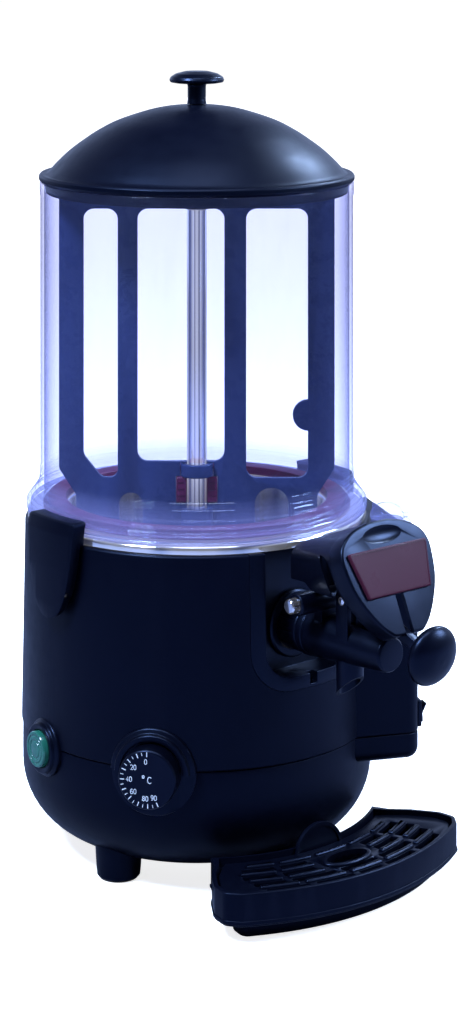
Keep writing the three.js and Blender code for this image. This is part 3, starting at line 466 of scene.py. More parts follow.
def applied(o):
    dg = bpy.context.evaluated_depsgraph_get()
    me = bpy.data.meshes.new_from_object(o.evaluated_get(dg))
    old = o.data
    o.modifiers.clear()
    o.data = me
    me.name = old.name
    return o

def boolean(a, b, op="DIFFERENCE", keep=False):
    md = a.modifiers.new("b", "BOOLEAN")
    md.operation = op
    md.solver = "EXACT"
    md.object = b
    applied(a)
    if not keep:
        bpy.data.objects.remove(b)
    if len(a.data.materials) > 1:
        m0 = a.data.materials[0]
        a.data.materials.clear()
        a.data.materials.append(m0)
        for p in a.data.polygons:
            p.material_index = 0
    return a

def bevel(o, width, segs=3, angle=30):
    bm = bmesh.new()
    bm.from_mesh(o.data)
    bmesh.ops.remove_doubles(bm, verts=bm.verts, dist=0.00002)
    bmesh.ops.dissolve_limit(bm, angle_limit=rad(0.5), verts=bm.verts, edges=bm.edges)
    bm.to_mesh(o.data)
    bm.free()
    md = o.modifiers.new("v", "BEVEL")
    md.width = width * S
    md.segments = segs
    md.limit_method = "ANGLE"
    md.angle_limit = rad(angle)
    md.harden_normals = False
    md.use_clamp_overlap = True
    md.miter_outer = "MITER_ARC"
    return applied(o)

def piece(o, cad, angle=32):
    """The finished piece stands for a CAD node and rides on its body."""
    smooth(o, angle)
    names = [cad] if isinstance(cad, str) else list(cad)
    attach(o, BODY[names[0]])
    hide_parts(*names)
    return o

def extra(o, body, angle=32):
    smooth(o, angle)
    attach(o, body)
    return o

def sideways(name, outline, x0, x1, mat=None):
    """Outline in (distance in front, height), thickness along X."""
    o = prism(name, outline, x0, x1, mat)
    return xform(o, Matrix(((0, 0, 1, 0), (-1, 0, 0, 0), (0, 1, 0, 0), (0, 0, 0, 1))))

def move(o, x=0, y=0, z=0):
    return xform(o, Matrix.Translation((x * S, y * S, z * S)))

def spline(points, n=6):
    """Smooth open curve through the points."""
    out = []
    p = [Vector(q) for q in points]
    p = [p[0] * 2 - p[1]] + p + [p[-1] * 2 - p[-2]]
    for i in range(1, len(p) - 2):
        a, b, c, d = p[i - 1], p[i], p[i + 1], p[i + 2]
        for j in range(n):
            t = j / n
            q = 0.5 * ((2 * b) + (c - a) * t + (2 * a - 5 * b + 4 * c - d) * t * t + (3 * b - a - 3 * c + d) * t ** 3)
            out.append((q.x, q.y))
    out.append(tuple(points[-1]))
    return out

def area2(pts):
    return sum(pts[i][0] * pts[(i + 1) % len(pts)][1] - pts[(i + 1) % len(pts)][0] * pts[i][1] for i in range(len(pts)))

def inset(pts, d):
    """Offset inwards along the corner bisectors."""
    out = []
    k = len(pts)
    for i in range(k):
        a, b, c = Vector(pts[i - 1]), Vector(pts[i]), Vector(pts[(i + 1) % k])
        e1, e2 = (b - a).normalized(), (c - b).normalized()
        n1, n2 = Vector((-e1.y, e1.x)), Vector((-e2.y, e2.x))
        m = n1 + n2
        if m.length < 1e-6:
            m = n1.copy()
        m.normalize()
        s = max(0.35, m.dot(n1))
        out.append(tuple(b + m * (d / s)))
    return out

def slab(name, outline, z0, z1, r0=0.6, r1=0.6, n=4, mat=None):
    """Raised outline whose bottom and top edges are rounded by r0 and r1."""
    pts = []
    for p in outline:
        if not pts or (Vector(p) - Vector(pts[-1])).length > 0.02:
            pts.append(tuple(p))
    if (Vector(pts[0]) - Vector(pts[-1])).length < 0.02:
        pts.pop()
    if area2(pts) < 0:
        pts.reverse()
    rings = []
    for j in range(n + 1) if r0 > 0 else [n]:
        t = math.pi / 2 * j / n
        rings.append((r0 * (1 - math.sin(t)), z0 + r0 * (1 - math.cos(t))))
    for j in range(n + 1) if r1 > 0 else [0]:
        t = math.pi / 2 * j / n
        rings.append((r1 * (1 - math.cos(t)), z1 - r1 * (1 - math.sin(t))))
    verts, faces = [], []
    k = len(pts)
    for d, z in rings:
        for x, y in (inset(pts, d) if d > 1e-6 else pts):
            verts.append((x, y, z))
    for j in range(len(rings) - 1):
        for i in range(k):
            i2 = (i + 1) % k
            faces.append((j * k + i, j * k + i2, (j + 1) * k + i2, (j + 1) * k + i))
    faces.append(tuple(reversed(range(k))))
    faces.append(tuple((len(rings) - 1) * k + i for i in range(k)))
    return new_object(name, verts, faces, mat)

def fslab(name, outline, f0, f1, r0=0.5, r1=0.5, n=4, mat=None):
    return turn_x(slab(name, outline, f0, f1, r0, r1, n, mat), 90)

def sslab(name, outline, x0, x1, r0=0.5, r1=0.5, n=3, mat=None):
    o = slab(name, outline, x0, x1, r0, r1, n, mat)
    return xform(o, Matrix(((0, 0, 1, 0), (-1, 0, 0, 0), (0, 1, 0, 0), (0, 0, 0, 1))))

def cyl(name, r, z0, z1, seg=96):
    return lathe(name, [(0, z0), (r, z0), (r, z1), (0, z1)], seg, None, False)

def fcyl(name, r, f0, f1, z, x=0, seg=64):
    return forward(name, [(0, f0), (r, f0), (r, f1), (0, f1)], z, x, seg, None, False)

def acyl(name, r, x0, x1, f, z, seg=48):
    return across(name, [(0, x0), (r, x0), (r, x1), (0, x1)], f, z, seg, None, False)

def arc_pts(cx, cy, r, a0, a1, n, ry=None):
    ry = r if ry is None else ry
    return [(cx + r * math.cos(rad(a0 + (a1 - a0) * i / n)), cy + ry * math.sin(rad(a0 + (a1 - a0) * i / n))) for i in range(n + 1)]

def stroke(name, pts, w, z0, z1, mat=None, round_end=True):
    """A line of width w along pts, as a thin raised strip."""
    P = [Vector(p) for p in pts]
    L, R = [], []
    for i, p in enumerate(P):
        if i == 0:
            d = P[1] - P[0]
        elif i == len(P) - 1:
            d = P[-1] - P[-2]
        else:
            d = (P[i + 1] - P[i]).normalized() + (P[i] - P[i - 1]).normalized()
        d.normalize()
        nrm = Vector((-d.y, d.x)) * (w / 2)
        L.append(tuple(p + nrm))
        R.append(tuple(p - nrm))
    return slab(name, R + L[::-1], z0, z1, 0, min(0.05, (z1 - z0) / 2), 1, mat)

def join(name, objs):
    bm = bmesh.new()
    for o in objs:
        bm.from_mesh(o.data)
    base = objs[0]
    me = bpy.data.meshes.new(name)
    bm.to_mesh(me)
    bm.free()
    for m in base.data.materials:
        me.materials.append(m)
    for o in objs:
        bpy.data.objects.remove(o)
    o = bpy.data.objects.new(name, me)
    bpy.context.scene.collection.objects.link(o)
    return o

BOX = 65.6
CASE_TOP, SEAM = 232.3, 81.0
case_r = lambda z: 130 + (CASE_TOP - z) * 2.6 / (CASE_TOP - SEAM)

# ------------------------------------------------------------------ casing
def bowl_outer(g=0.0, n=14, top=80.7):
    pts = [(131.6 + g, top), (131.6 + g, 52)]
    for i in range(1, n + 1):
        a = math.pi / 2 * i / n
        pts.append((79 + (52.6 + g) * math.cos(a), 52 - (52 + g) * math.sin(a)))
    return pts

def box_outline(d=0.0, r=10):
    o = rrect(-90 + d, 90 - d, -(148 - d), 20, r, 8)
    return o

def on_box(o):
    return swing(o, -BOX)

def fill_at(o):
    move(o, -66, -129.5)
    return swing(o, -BOX)

def box_part(name, z0, z1, r0, r1):
    o = slab(name, box_outline(), z0, z1, r0, r1, 6, "casing_black")
    boolean(o, cyl("c", 128.4, z0 - 5, z1 + 5, 128))
    return on_box(o)

def shell_upper():
    prof = fillet([(case_r(81.3), 81.3), (130, CASE_TOP), (118, CASE_TOP), (118, 228.9), (126.6, 228.9), (129.2, 81.3)], [1.0, 2.6, 0.8, 0.4, 2, 0.3], 5)
    o = lathe("casing_upper_look", prof, 192, "casing_black")
    b = box_part("b", 81.3, 228, 0.9, 3.2)
    boolean(b, block("p", 90, 190, -33, 33, 168, 300))
    boolean(o, b, "UNION")
    for s in (90, -90):
        lug = sslab("l", fillet([(128.5, 191), (138, 191), (139.5, 196.6), (139.5, 203), (128.5, 203)], [0, 0.8, 1.5, 1.5, 0], 4), -8, 8, 0.6, 0.6)
        boolean(o, swing(lug, s), "UNION")
        boolean(o, swing(acyl("c", 1.8, -40, 40, 137, 197), s))
    u = faced("u", fillet([(-50.5, 132), (50.5, 132), (50.5, 300), (-50.5, 300)], [30, 30, 0, 0], 10), 90, 150)
    boolean(o, u)
    boolean(o, swing(fcyl("c", 8, 100, 150, 80), 53))
    boolean(o, swing(fcyl("c", 14.6, 100, 150, 78), 96.5))
    boolean(o, fill_at(cyl("c", 9.6, 190, 240, 48)))
    return piece(o, "upper_casing", angle=28)
shell_upper()

def shell_lower():
    outer = bowl_outer(0, 16, 80.7)
    inner = [(r, z) for r, z in bowl_outer(-3.4, 16, 80.7)]
    prof = fillet(outer[:1], 0) if False else []
    prof = [(outer[0][0] - 0.9, 80.7), (outer[0][0] - 0.27, 80.43), (outer[0][0], 79.8)] + outer[1:] + [(74.3, 0), (74.3, 2.8), (66, 2.8), (66, 5)] + [(inner[-1][0], 5)] + inner[::-1]
    o = lathe("casing_lower_look", prof, 192, "casing_black")
    b = slab("b", box_outline(), 61, 80.7, 8.5, 0.9, 7, "casing_black")
    boolean(b, cyl("c", 128.6, 30, 100, 128))
    on_box(b)
    boolean(o, b, "UNION")
    boolean(o, swing(fcyl("c", 8, 100, 150, 80), 53))
    boolean(o, swing(fcyl("c", 14.6, 100, 150, 78), 96.5))
    boolean(o, swing(fcyl("c", 7.4, 100, 150, 58), 180))
    return piece(o, "lower_casing", angle=28)
shell_lower()

for i in range(5):
    prof = [(0, -13), (12.9, -13), (14.0, -12.6), (14.6, -11.8), (15.7, -10.6), (16.3, -4), (17.3, 14), (17.8, 34), (0, 34)]
    o = lathe("foot_%d_look" % (i + 1), prof, 64, "casing_black", False)
    move(o, 0, -97)
    swing(o, 72 * i + 3.3)
    boolean(o, lathe("b", bowl_outer(0.25, 16, 90) + [(0, -0.3), (0, 90)], 128, None, False))
    piece(o, "foot_%d" % (i + 1))

# ------------------------------------------------------------------ bath, pan, tank
o = lathe("bath_look", fillet([(7.8, 138.8), (104.6, 138.8), (104.6, 237.3), (126.6, 237.3), (126.6, 232.7), (128, 232.7), (128, 238.7), (103.3, 238.7), (103.3, 140), (7.8, 140)], [0.3, 6, 1.5, 2.4, 0.4, 0.4, 3.0, 2.6, 5, 0.3], 6), 192, "polished_steel")
boolean(o, fcyl("c", 15, 80, 120, 173))
piece(o, "water_bath", angle=40)
o = lathe("pan_look", fillet([(7.8, 158.8), (98.2, 158.8), (98.2, 239.0), (124, 239.0), (124, 240.2), (97, 240.2), (97, 160), (7.8, 160)], [0.3, 9, 1.4, 0.4, 0.4, 2.2, 8, 0.3], 6), 192, "polished_steel")
stub = forward("s", [(12.9, 95.5), (14.5, 95.5), (14.5, 117.8), (12.9, 117.8)], 173, 0, 64)
boolean(o, fcyl("c", 13.7, 80, 120, 173))
boolean(o, stub, "UNION")
piece(o, "product_pan", angle=40)
piece(lathe("gasket_look", fillet([(99, 240.4), (116.5, 240.4), (116.5, 242.4), (113, 242.8), (113, 246.6), (99, 246.6)], 0.6, 4), 160, "red_silicone"), "tank_gasket")
tank_prof = fillet([(115.7, 484), (115.7, 244), (125.8, 244), (125.8, 239.3), (129, 239.3), (129, 245.2), (127.6, 245.9), (127.4, 247.2), (125.4, 247.6), (125.1, 250.2), (122.6, 250.8), (122.2, 254.6), (120.4, 255.4), (120.0, 258.4), (119.6, 259.2), (119.6, 261.6), (118.9, 262.2), (118.9, 264.6), (119.5, 265.2), (119.5, 266.8), (118.7, 267.4), (118.7, 474.2), (119.2, 474.8), (119.2, 484)], [0.8, 2, 0.6, 0.4, 0.6, 0.8, 0.5, 0.4, 0.6, 0.5, 0.6, 0.5, 0.6, 0.5, 0.4, 0.3, 0.3, 0.3, 0.3, 0.3, 0.3, 0.3, 0.3, 0.3, 0.8], 3)
piece(lathe("tank_look", tank_prof, 192, "clear_tank"), "tank", angle=35)

# ------------------------------------------------------------------ lid
dome = spline([(112.6, 491.4), (106, 498.6), (97, 507.0), (86.6, 514.8), (75, 522.4), (60, 530), (37, 537.6), (20, 540.9), (3.4, 542)], 5)
under = spline([(3.4, 539.2), (20, 538.2), (36.5, 534.6), (59, 526.8), (85, 512), (106, 494)], 5)
rim = fillet([(106, 494), (111.8, 488), (112.2, 476), (114.6, 476), (115, 484.3), (118, 484.3), (119.8, 486.2), (119.8, 488.9), (118.4, 490.5), (114.6, 490.2), (112.6, 491.4)], [0, 2, 0.8, 0.8, 0.3, 0.7, 1.0, 1.2, 1.2, 0.8, 0], 5, False)
piece(lathe("lid_look", dome + under + rim[1:-1], 192, "casing_black"), "lid", angle=35)
knob = fillet([(0, 567.5), (9, 567.2), (16, 565.4), (19.8, 563), (20.9, 560.8), (20, 558.9), (16, 558.2), (7.2, 557.6), (6.95, 555.5), (6.95, 546), (7.4, 542.4), (3.1, 542.4), (3.1, 532), (0, 532)], [0, 6, 5, 2.5, 1.2, 1.2, 2, 1.4, 1, 3, 0.3, 0.2, 0.3, 0], 5, False)
piece(lathe("lid_knob_look", knob, 96, "trim_black", False), "lid_knob")

# ------------------------------------------------------------------ standpipe and stirrer
piece(lathe("tube_look", fillet([(5.5, 136), (7.45, 136), (7.45, 462.5), (5.5, 462.5)], 0.4, 3), 64, "polished_steel"), "centre_tube")
piece(lathe("shaft_look", fillet([(0, 96), (4, 96), (4, 484), (0, 484)], [0, 0.5, 0.8, 0], 3, False), 48, "polished_steel", False), "drive_shaft")

def board():
    out = fillet([(-90, 164), (90, 164), (91.5, 246), (104.6, 266), (104.6, 472), (98.6, 478), (-98.6, 478), (-104.6, 472), (-104.6, 266), (-91.5, 246)], [6, 6, 8, 8, 3, 3, 3, 3, 8, 8], 5)
    w1 = fillet([(-72, 259), (-60, 259), (-60, 463), (-86, 463), (-86, 276)], [7, 7, 8, 8, 9], 7)
    w2 = rrect(-45, 21, 271, 463, 8, 8)
    w3 = [(84.5, 294.5)] + arc_pts(84.5, 306, 11.6, 270, 90, 14)[1:-1] + [(84.5, 317.5)]
    w3 = fillet([(37.5, 258.4), (84.5, 258.4)], 0, 1) and (fillet([(37.5, 463), (37.5, 258.4), (84.5, 258.4), (84.5, 294.4)], [0, 8, 8, 1.0], 8, False)[1:] + arc_pts(84.5, 306, 11.6, 270, 90, 14)[1:-1] + [(84.5, 317.6)] + fillet([(84.5, 317.6), (84.5, 463), (37.5, 463), (37.5, 258.4)], [0, 8, 8, 0], 8, False)[1:-1])
    lowL = rrect(-59, -41, 182, 247.4, 8.9, 10)
    lowR = rrect(44, 69.5, 182, 250.9, 12, 10)
    o = faced("stirrer_board_look", out, -2.5, 2.5, "stirrer_plastic", [w1, w2, w3, lowL, lowR])
    bevel(o, 0.7, 2, 40)
    boolean(o, cyl("c", 12.6, 172, 236, 64), "UNION")
    boolean(o, cyl("c", 10, 463, 478, 64), "UNION")
    boolean(o, cyl("c", 8.1, 160, 462.8, 64))
    boolean(o, cyl("c", 4.2, 460, 480, 48))
    boolean(o, cyl("c", 12.9, 259.3, 270.2, 64))
    boolean(o, block("c", -16, 16, -20, 20, 239.6, 260.2))
    xform(o, Matrix.Rotation(rad(-39.5), 4, "Z"))
    return piece(o, "stirrer_board", angle=30)
board()
clip = lathe("clip_look", fillet([(8.1, 260), (12.5, 260), (12.5, 269.8), (8.1, 269.8)], 0.9, 4), 64, "stirrer_plastic")
piece(clip, "stirrer_clip")

def wiper():
    o = block("wiper_look", -15.5, 15.5, -4, 12, 240, 259.7, "red_silicone")
    bevel(o, 1.4, 3, 30)
    boolean(o, cyl("c", 8.1, 230, 265, 48))
    boolean(o, block("c", -8.1, 8.1, -10, 0, 230, 265))
    for z in (245, 250, 255):
        boolean(o, block("c", 9, 20, -6, -3.4, z - 0.5, z + 0.5))
        boolean(o, block("c", -20, -9, -6, -3.4, z - 0.5, z + 0.5))
    xform(o, Matrix.Rotation(rad(-39.5), 4, "Z"))
    return piece(o, "stirrer_wiper")
wiper()
piece(lathe("stirrer_cap_look", fillet([(0, 489), (5, 488.4), (8.6, 485), (9, 478.4), (4.2, 478.4), (4.2, 484.3), (0, 484.3)], [0, 2, 2, 0.6, 0.3, 0.3, 0], 4, False), 48, "trim_black", False), "stirrer_cap")

# ------------------------------------------------------------------ dial
def dial_group():
    # stepped surround: two rings over the joint line, one faint ring below it
    core = fillet([(0, 118), (31, 118), (31, 133.4), (27.6, 133.4 + 1.2), (27.0, 138), (22.6, 138), (22.6, 134.6), (0, 134.6)], [0, 0, 1.6, 0.8, 1.2, 1.0, 0.4, 0], 5, False)
    o = swing(forward("dial_bezel_look", core, 80, 0, 128, "trim_black", False), 53)
    low = lathe("k", [(0, 40), (136.2, 40), (133.6, 56), (133.4, 80.8), (150, 80.8), (150, 120), (0, 120)], 160, None, False)
    boolean(o, low, "INTERSECT")
    skin = lathe("k", [(0, 20)] + [(r, z) for r, z in bowl_outer(-0.6, 14, 81)][::-1] + [(case_r(81) - 0.6, 81), (case_r(120) - 0.6, 120), (0, 120)], 160, None, False)
    boolean(o, skin)
    boolean(o, swing(fcyl("c", 22.6, 134.6, 150, 80, 0, 96), 53))
    boolean(o, swing(fcyl("c", 4.4, 100, 150, 80), 53))
    piece(o, "dial_bezel", angle=30)
    prof = fillet([(0, 113), (3.1, 113), (3.1, 134.9), (21, 134.9), (21, 149), (20, 150), (16.5, 150), (0, 150)], [0, 0.3, 0.3, 0.5, 1.4, 0.8, 0, 0], 5, False)
    k = forward("dial_knob_look", prof, 80, 0, 128, "trim_black", False)
    swing(k, 53)
    piece(k, "dial_knob")
    marks = []
    # seen from the front of the dial: scale runs from the top anticlockwise to the lower right
    def at(deg, r):
        return (-r * math.sin(rad(deg)), r * math.cos(rad(deg)))
    span = 205.0
    for i in range(19):
        d = span * i / 18
        a, b = (19.4, 17.2) if i % 2 else (19.6, 16.4)
        marks.append(stroke("m", [at(d, a), at(d, b)], 0.62 if i % 2 == 0 else 0.42, 149.98, 150.12, "white_print"))
    D = {
        "0": [[(0.5, 1), (0.2, 0.95), (0, 0.75), (0, 0.25), (0.2, 0.05), (0.5, 0), (0.8, 0.05), (1, 0.25), (1, 0.75), (0.8, 0.95), (0.5, 1)]],
        "2": [[(0, 0.78), (0.12, 0.95), (0.5, 1), (0.88, 0.93), (1, 0.72), (0.88, 0.5), (0, 0), (1, 0)]],
        "4": [[(0.72, 0), (0.72, 1), (0, 0.3), (1, 0.3)]],
        "6": [[(0.9, 0.92), (0.5, 1), (0.14, 0.85), (0, 0.5), (0, 0.22), (0.2, 0.03), (0.5, 0), (0.82, 0.05), (1, 0.28), (0.85, 0.52), (0.5, 0.58), (0.12, 0.48), (0, 0.3)]],
        "8": [[(0.5, 0.54), (0.12, 0.66), (0.08, 0.88), (0.5, 1), (0.92, 0.88), (0.88, 0.66), (0.5, 0.54), (0.05, 0.4), (0, 0.15), (0.5, 0), (1, 0.15), (0.95, 0.4), (0.5, 0.54)]],
        "9": [[(0.1, 0.08), (0.5, 0), (0.86, 0.15), (1, 0.5), (1, 0.78), (0.8, 0.97), (0.5, 1), (0.18, 0.95), (0, 0.72), (0.15, 0.48), (0.5, 0.42), (0.88, 0.52), (1, 0.7)]],
        "C": [[(1, 0.85), (0.78, 0.97), (0.5, 1), (0.15, 0.85), (0, 0.5), (0.15, 0.15), (0.5, 0), (0.78, 0.03), (1, 0.15)]],
        "o": [[(0.5, 1), (0.1, 0.9), (0.0, 0.65), (0.2, 0.4), (0.5, 0.35), (0.8, 0.4), (1, 0.65), (0.9, 0.9), (0.5, 1)]],
    }
    def text(s, x, y, h, w, tw):
        n = len(s)
        gap = w * 0.42
        total = n * w + (n - 1) * gap
        for i, ch in enumerate(s):
            x0 = x - total / 2 + i * (w + gap)
            for path in D[ch]:
                hh, y0 = h, y - h / 2
                ww = w
                if ch == "o":
                    ww, hh, y0 = w * 0.55, h * 0.62, y + h * 0.06
                marks.append(stroke("m", [(x0 + px * ww, y0 + py * hh) for px, py in path], tw, 149.98, 150.12, "white_print"))
    for ang, s in ((3.5, "0"), (49, "20"), (90, "40"), (131, "60"), (175, "80"), (203, "90")):
        px, py = at(ang, 12.9)
        text(s, px, py, 3.3, 1.65, 0.46)
    text("oC", 0, 0.2, 4.4, 2.7, 0.55)
    m = join("dial_marks", marks)
    turn_x(m, 90)
    xform(m, Matrix.Translation((0, 0, 80 * S)))
    swing(m, 53)
    extra(m, "dial")
dial_group()

# ------------------------------------------------------------------ push button
def button_group():
    prof = fillet([(13.5, 110), (14.2, 110), (14.2, 124), (20.6, 124), (20.6, 133.0), (18.2, 134.4), (17.8, 137.4), (13.5, 136.9)], [0, 0, 0, 0, 1.4, 0.8, 1.3, 0.8], 5)
    o = swing(forward("button_bezel_look", prof, 78, 0, 96, "trim_black"), 96.5)
    skin = lathe("k", [(0, 20)] + [(r, z) for r, z in bowl_outer(-0.5, 14, 81)][::-1] + [(case_r(81) - 0.5, 81), (case_r(120) - 0.5, 120), (0, 120)], 160, None, False)
    boolean(skin, swing(fcyl("c", 14.2, 100, 150, 78, 0, 96), 96.5))
    boolean(o, skin)
    piece(o, "button_bezel", angle=30)
    face = [(0, 118), (12.9, 118), (12.9, 139.4), (12.3, 140.5), (10.6, 140.6), (10.4, 140.1), (9.3, 140.1), (9.1, 140.55), (7.2, 140.55), (7.0, 140.1), (6.0, 140.1), (5.8, 140.5), (0, 140.6)]
    b = swing(forward("power_button_look", fillet(face, [0, 0.3, 0.7, 0.4, 0.2, 0.15, 0.15, 0.2, 0.2, 0.15, 0.15, 0.2, 0], 3, False), 78, 0, 96, "green_lens", False), 96.5)
    piece(b, "power_button")
button_group()

# ------------------------------------------------------------------ side box fittings
def rocker_group():
    cx = -76.5
    o = fslab("rocker_frame_look", rrect(cx - 6.2, cx + 6.2, 82.4, 102.4, 1.8, 5), 148.3, 151, 0, 0.9, 4, "trim_black")
    boolean(o, fslab("c", rrect(cx - 4.4, cx + 4.4, 84.2, 100.6, 0.8, 4), 149.2, 156, 0, 0))
    piece(on_box(o), "rocker_frame")
    prof = fillet([(150.2, 90.6), (152, 85.2), (152.8, 85.6), (152.4, 92), (155.6, 98.6), (154.8, 99.8), (150.2, 94)], [0, 0.5, 0.4, 4, 0.7, 0.4, 0], 4)
    r = sslab("rocker_look", prof, cx - 4, cx + 4, 0.35, 0.35, 3, "trim_black")
    piece(on_box(r), "rocker")
rocker_group()

def filler_group():
    T = 228
    prof = fillet([(9.2, 200), (9.3, T - 6), (9.3, T + 0.3), (13.8, T + 0.3), (13.8, T + 2.4), (12.2, T + 3), (12.2, T + 7), (7.8, T + 7), (7.8, 200)], [0.3, 0, 0.2, 0.5, 0.6, 0.6, 0.5, 0.5, 0.3], 4)
    o = lathe("filler_neck_look", prof, 72, "clear_tank")
    e = slab("e", rrect(-5, 5, -17.6, -12.5, 1.4, 4), T + 0.4, T + 2.2, 0.3, 0.4)
    e2 = slab("e", rrect(-5, 5, -17.6, -14.6, 0.8, 4), T + 0.4, T + 6.2, 0.2, 0.6)
    boolean(o, e, "UNION")
    boolean(o, e2, "UNION")
    piece(fill_at(o), "filler_neck")
    prof = [(0, T + 7.4), (12.4, T + 7.4), (12.8, T + 7.9), (12.8, T + 9.4)] + spline([(12.6, T + 10.2), (11.8, T + 12.8), (9, T + 16), (4.6, T + 18.1), (0, T + 18.6)], 4)
    c = lathe("filler_cap_look", prof, 72, "clear_tank", False)
    g = slab("g", rrect(-1.3, 1.3, -11.6, 11.6, 0.9, 4), T + 8, T + 19.4, 0.2, 1.0)
    e = slab("e", rrect(-4, 4, -17.8, -10, 1.6, 4), T + 7.5, T + 10.3, 0.4, 0.7)
    boolean(c, g, "UNION")
    boolean(c, e, "UNION")
    piece(fill_at(c), "filler_cap")
filler_group()

o = swing(forward("cord_gland_look", fillet([(3.4, 122), (7, 122), (7, 133.2), (11, 133.2), (11, 137), (8, 139), (8, 140.6), (7.2, 140.8), (7.2, 142), (8, 142.2), (8, 143.8), (7.2, 144), (7.2, 145.2), (8, 145.4), (8, 150), (3.4, 150)], 0.35, 3), 58, 0, 64, "black_rubber"), 180)
piece(o, "cord_gland")

# ------------------------------------------------------------------ latches
def latch(side, name):
    R = [(0, 177), (6, 178.6), (13, 184), (18, 193), (22.5, 207), (26, 226), (27.4, 243), (27, 249.5)]
    half = spline(R[:-1], 5) + [R[-1]]
    out = fillet([(-x, z) for x, z in half[::-1]] + half[1:], [3.5] + [0] * (2 * len(half) - 3) + [3.5], 5)
    o = faced("latch_%s_look" % name, out, 124.6, 150, "casing_black")
    skin = lathe("k", fillet([(0, 170), (139.6, 170), (140.4, 190), (141, 215), (140.4, 240), (138.6, 249.6), (0, 249.6)], [0, 0, 8, 20, 12, 2.5, 0], 6, False), 192, None, False)
    boolean(o, skin, "INTERSECT")
    keep = lathe("k", [(0, 170), (139.2, 170), (133.4, 196), (133.1, 232.4), (130.2, 232.5), (130.2, 240), (129.6, 245.6), (127.4, 249.7), (0, 249.7)], 192, None, False)
    boolean(o, keep)
    boolean(o, fslab("c", rrect(-8.7, 8.7, 160, 205.5, 1.5, 4), 125, 139.4, 0, 0))
    boolean(o, acyl("c", 1.9, -40, 40, 137, 197))
    bevel(o, 0.55, 2, 50)
    swing(o, side)
    piece(o, "latch_" + name, angle=34)
    p = swing(across("latch_pin_%s_look" % name, fillet([(0, -17.6), (1.6, -17.6), (1.6, 17.6), (0, 17.6)], [0, 0.4, 0.4, 0], 3, False), 137, 197, 40, "polished_steel", False), side)
    piece(p, "latch_pin_" + name)
latch(90, "left")
latch(-90, "right")

# ------------------------------------------------------------------ front insert
def insert():
    outer = fillet([(-50.2, 132.3), (50.2, 132.3), (50.2, CASE_TOP), (-50.2, CASE_TOP)], [29.7, 29.7, 0, 0], 14)
    o = faced("front_insert_look", outer, 107, 150, "trim_black")
    lip = lathe("k", [(0, 100), (case_r(100) + 0.5, 100), (case_r(231.5) + 0.5, 231.5), (129.4, CASE_TOP - 0.1), (0, CASE_TOP - 0.1)], 192, None, False)
    boolean(o, lip, "INTERSECT")
    boolean(o, faced("c", fillet([(-39.4, 142), (39.4, 142), (39.4, 300), (-39.4, 300)], [20, 20, 0, 0], 14), 110, 160))
    boolean(o, cyl("c", 107, 100, 260, 128))
    boolean(o, fcyl("c", 18.2, 90, 120, 173))
    # drain notch at the foot of the border
    boolean(o, fslab("c", rrect(-3.4, 3.4, 134.5, 146, 1.0, 4), 126.5, 150, 0, 0))
    bevel(o, 0.8, 3, 45)
    ring = forward("r", fillet([(18.3, 110), (24.5, 110), (24.5, 112.2), (23, 113.2), (18.3, 113.2)], 0.4, 3), 173, 0, 72)
    boolean(o, ring, "UNION")
    return piece(o, "front_insert", angle=32)
insert()

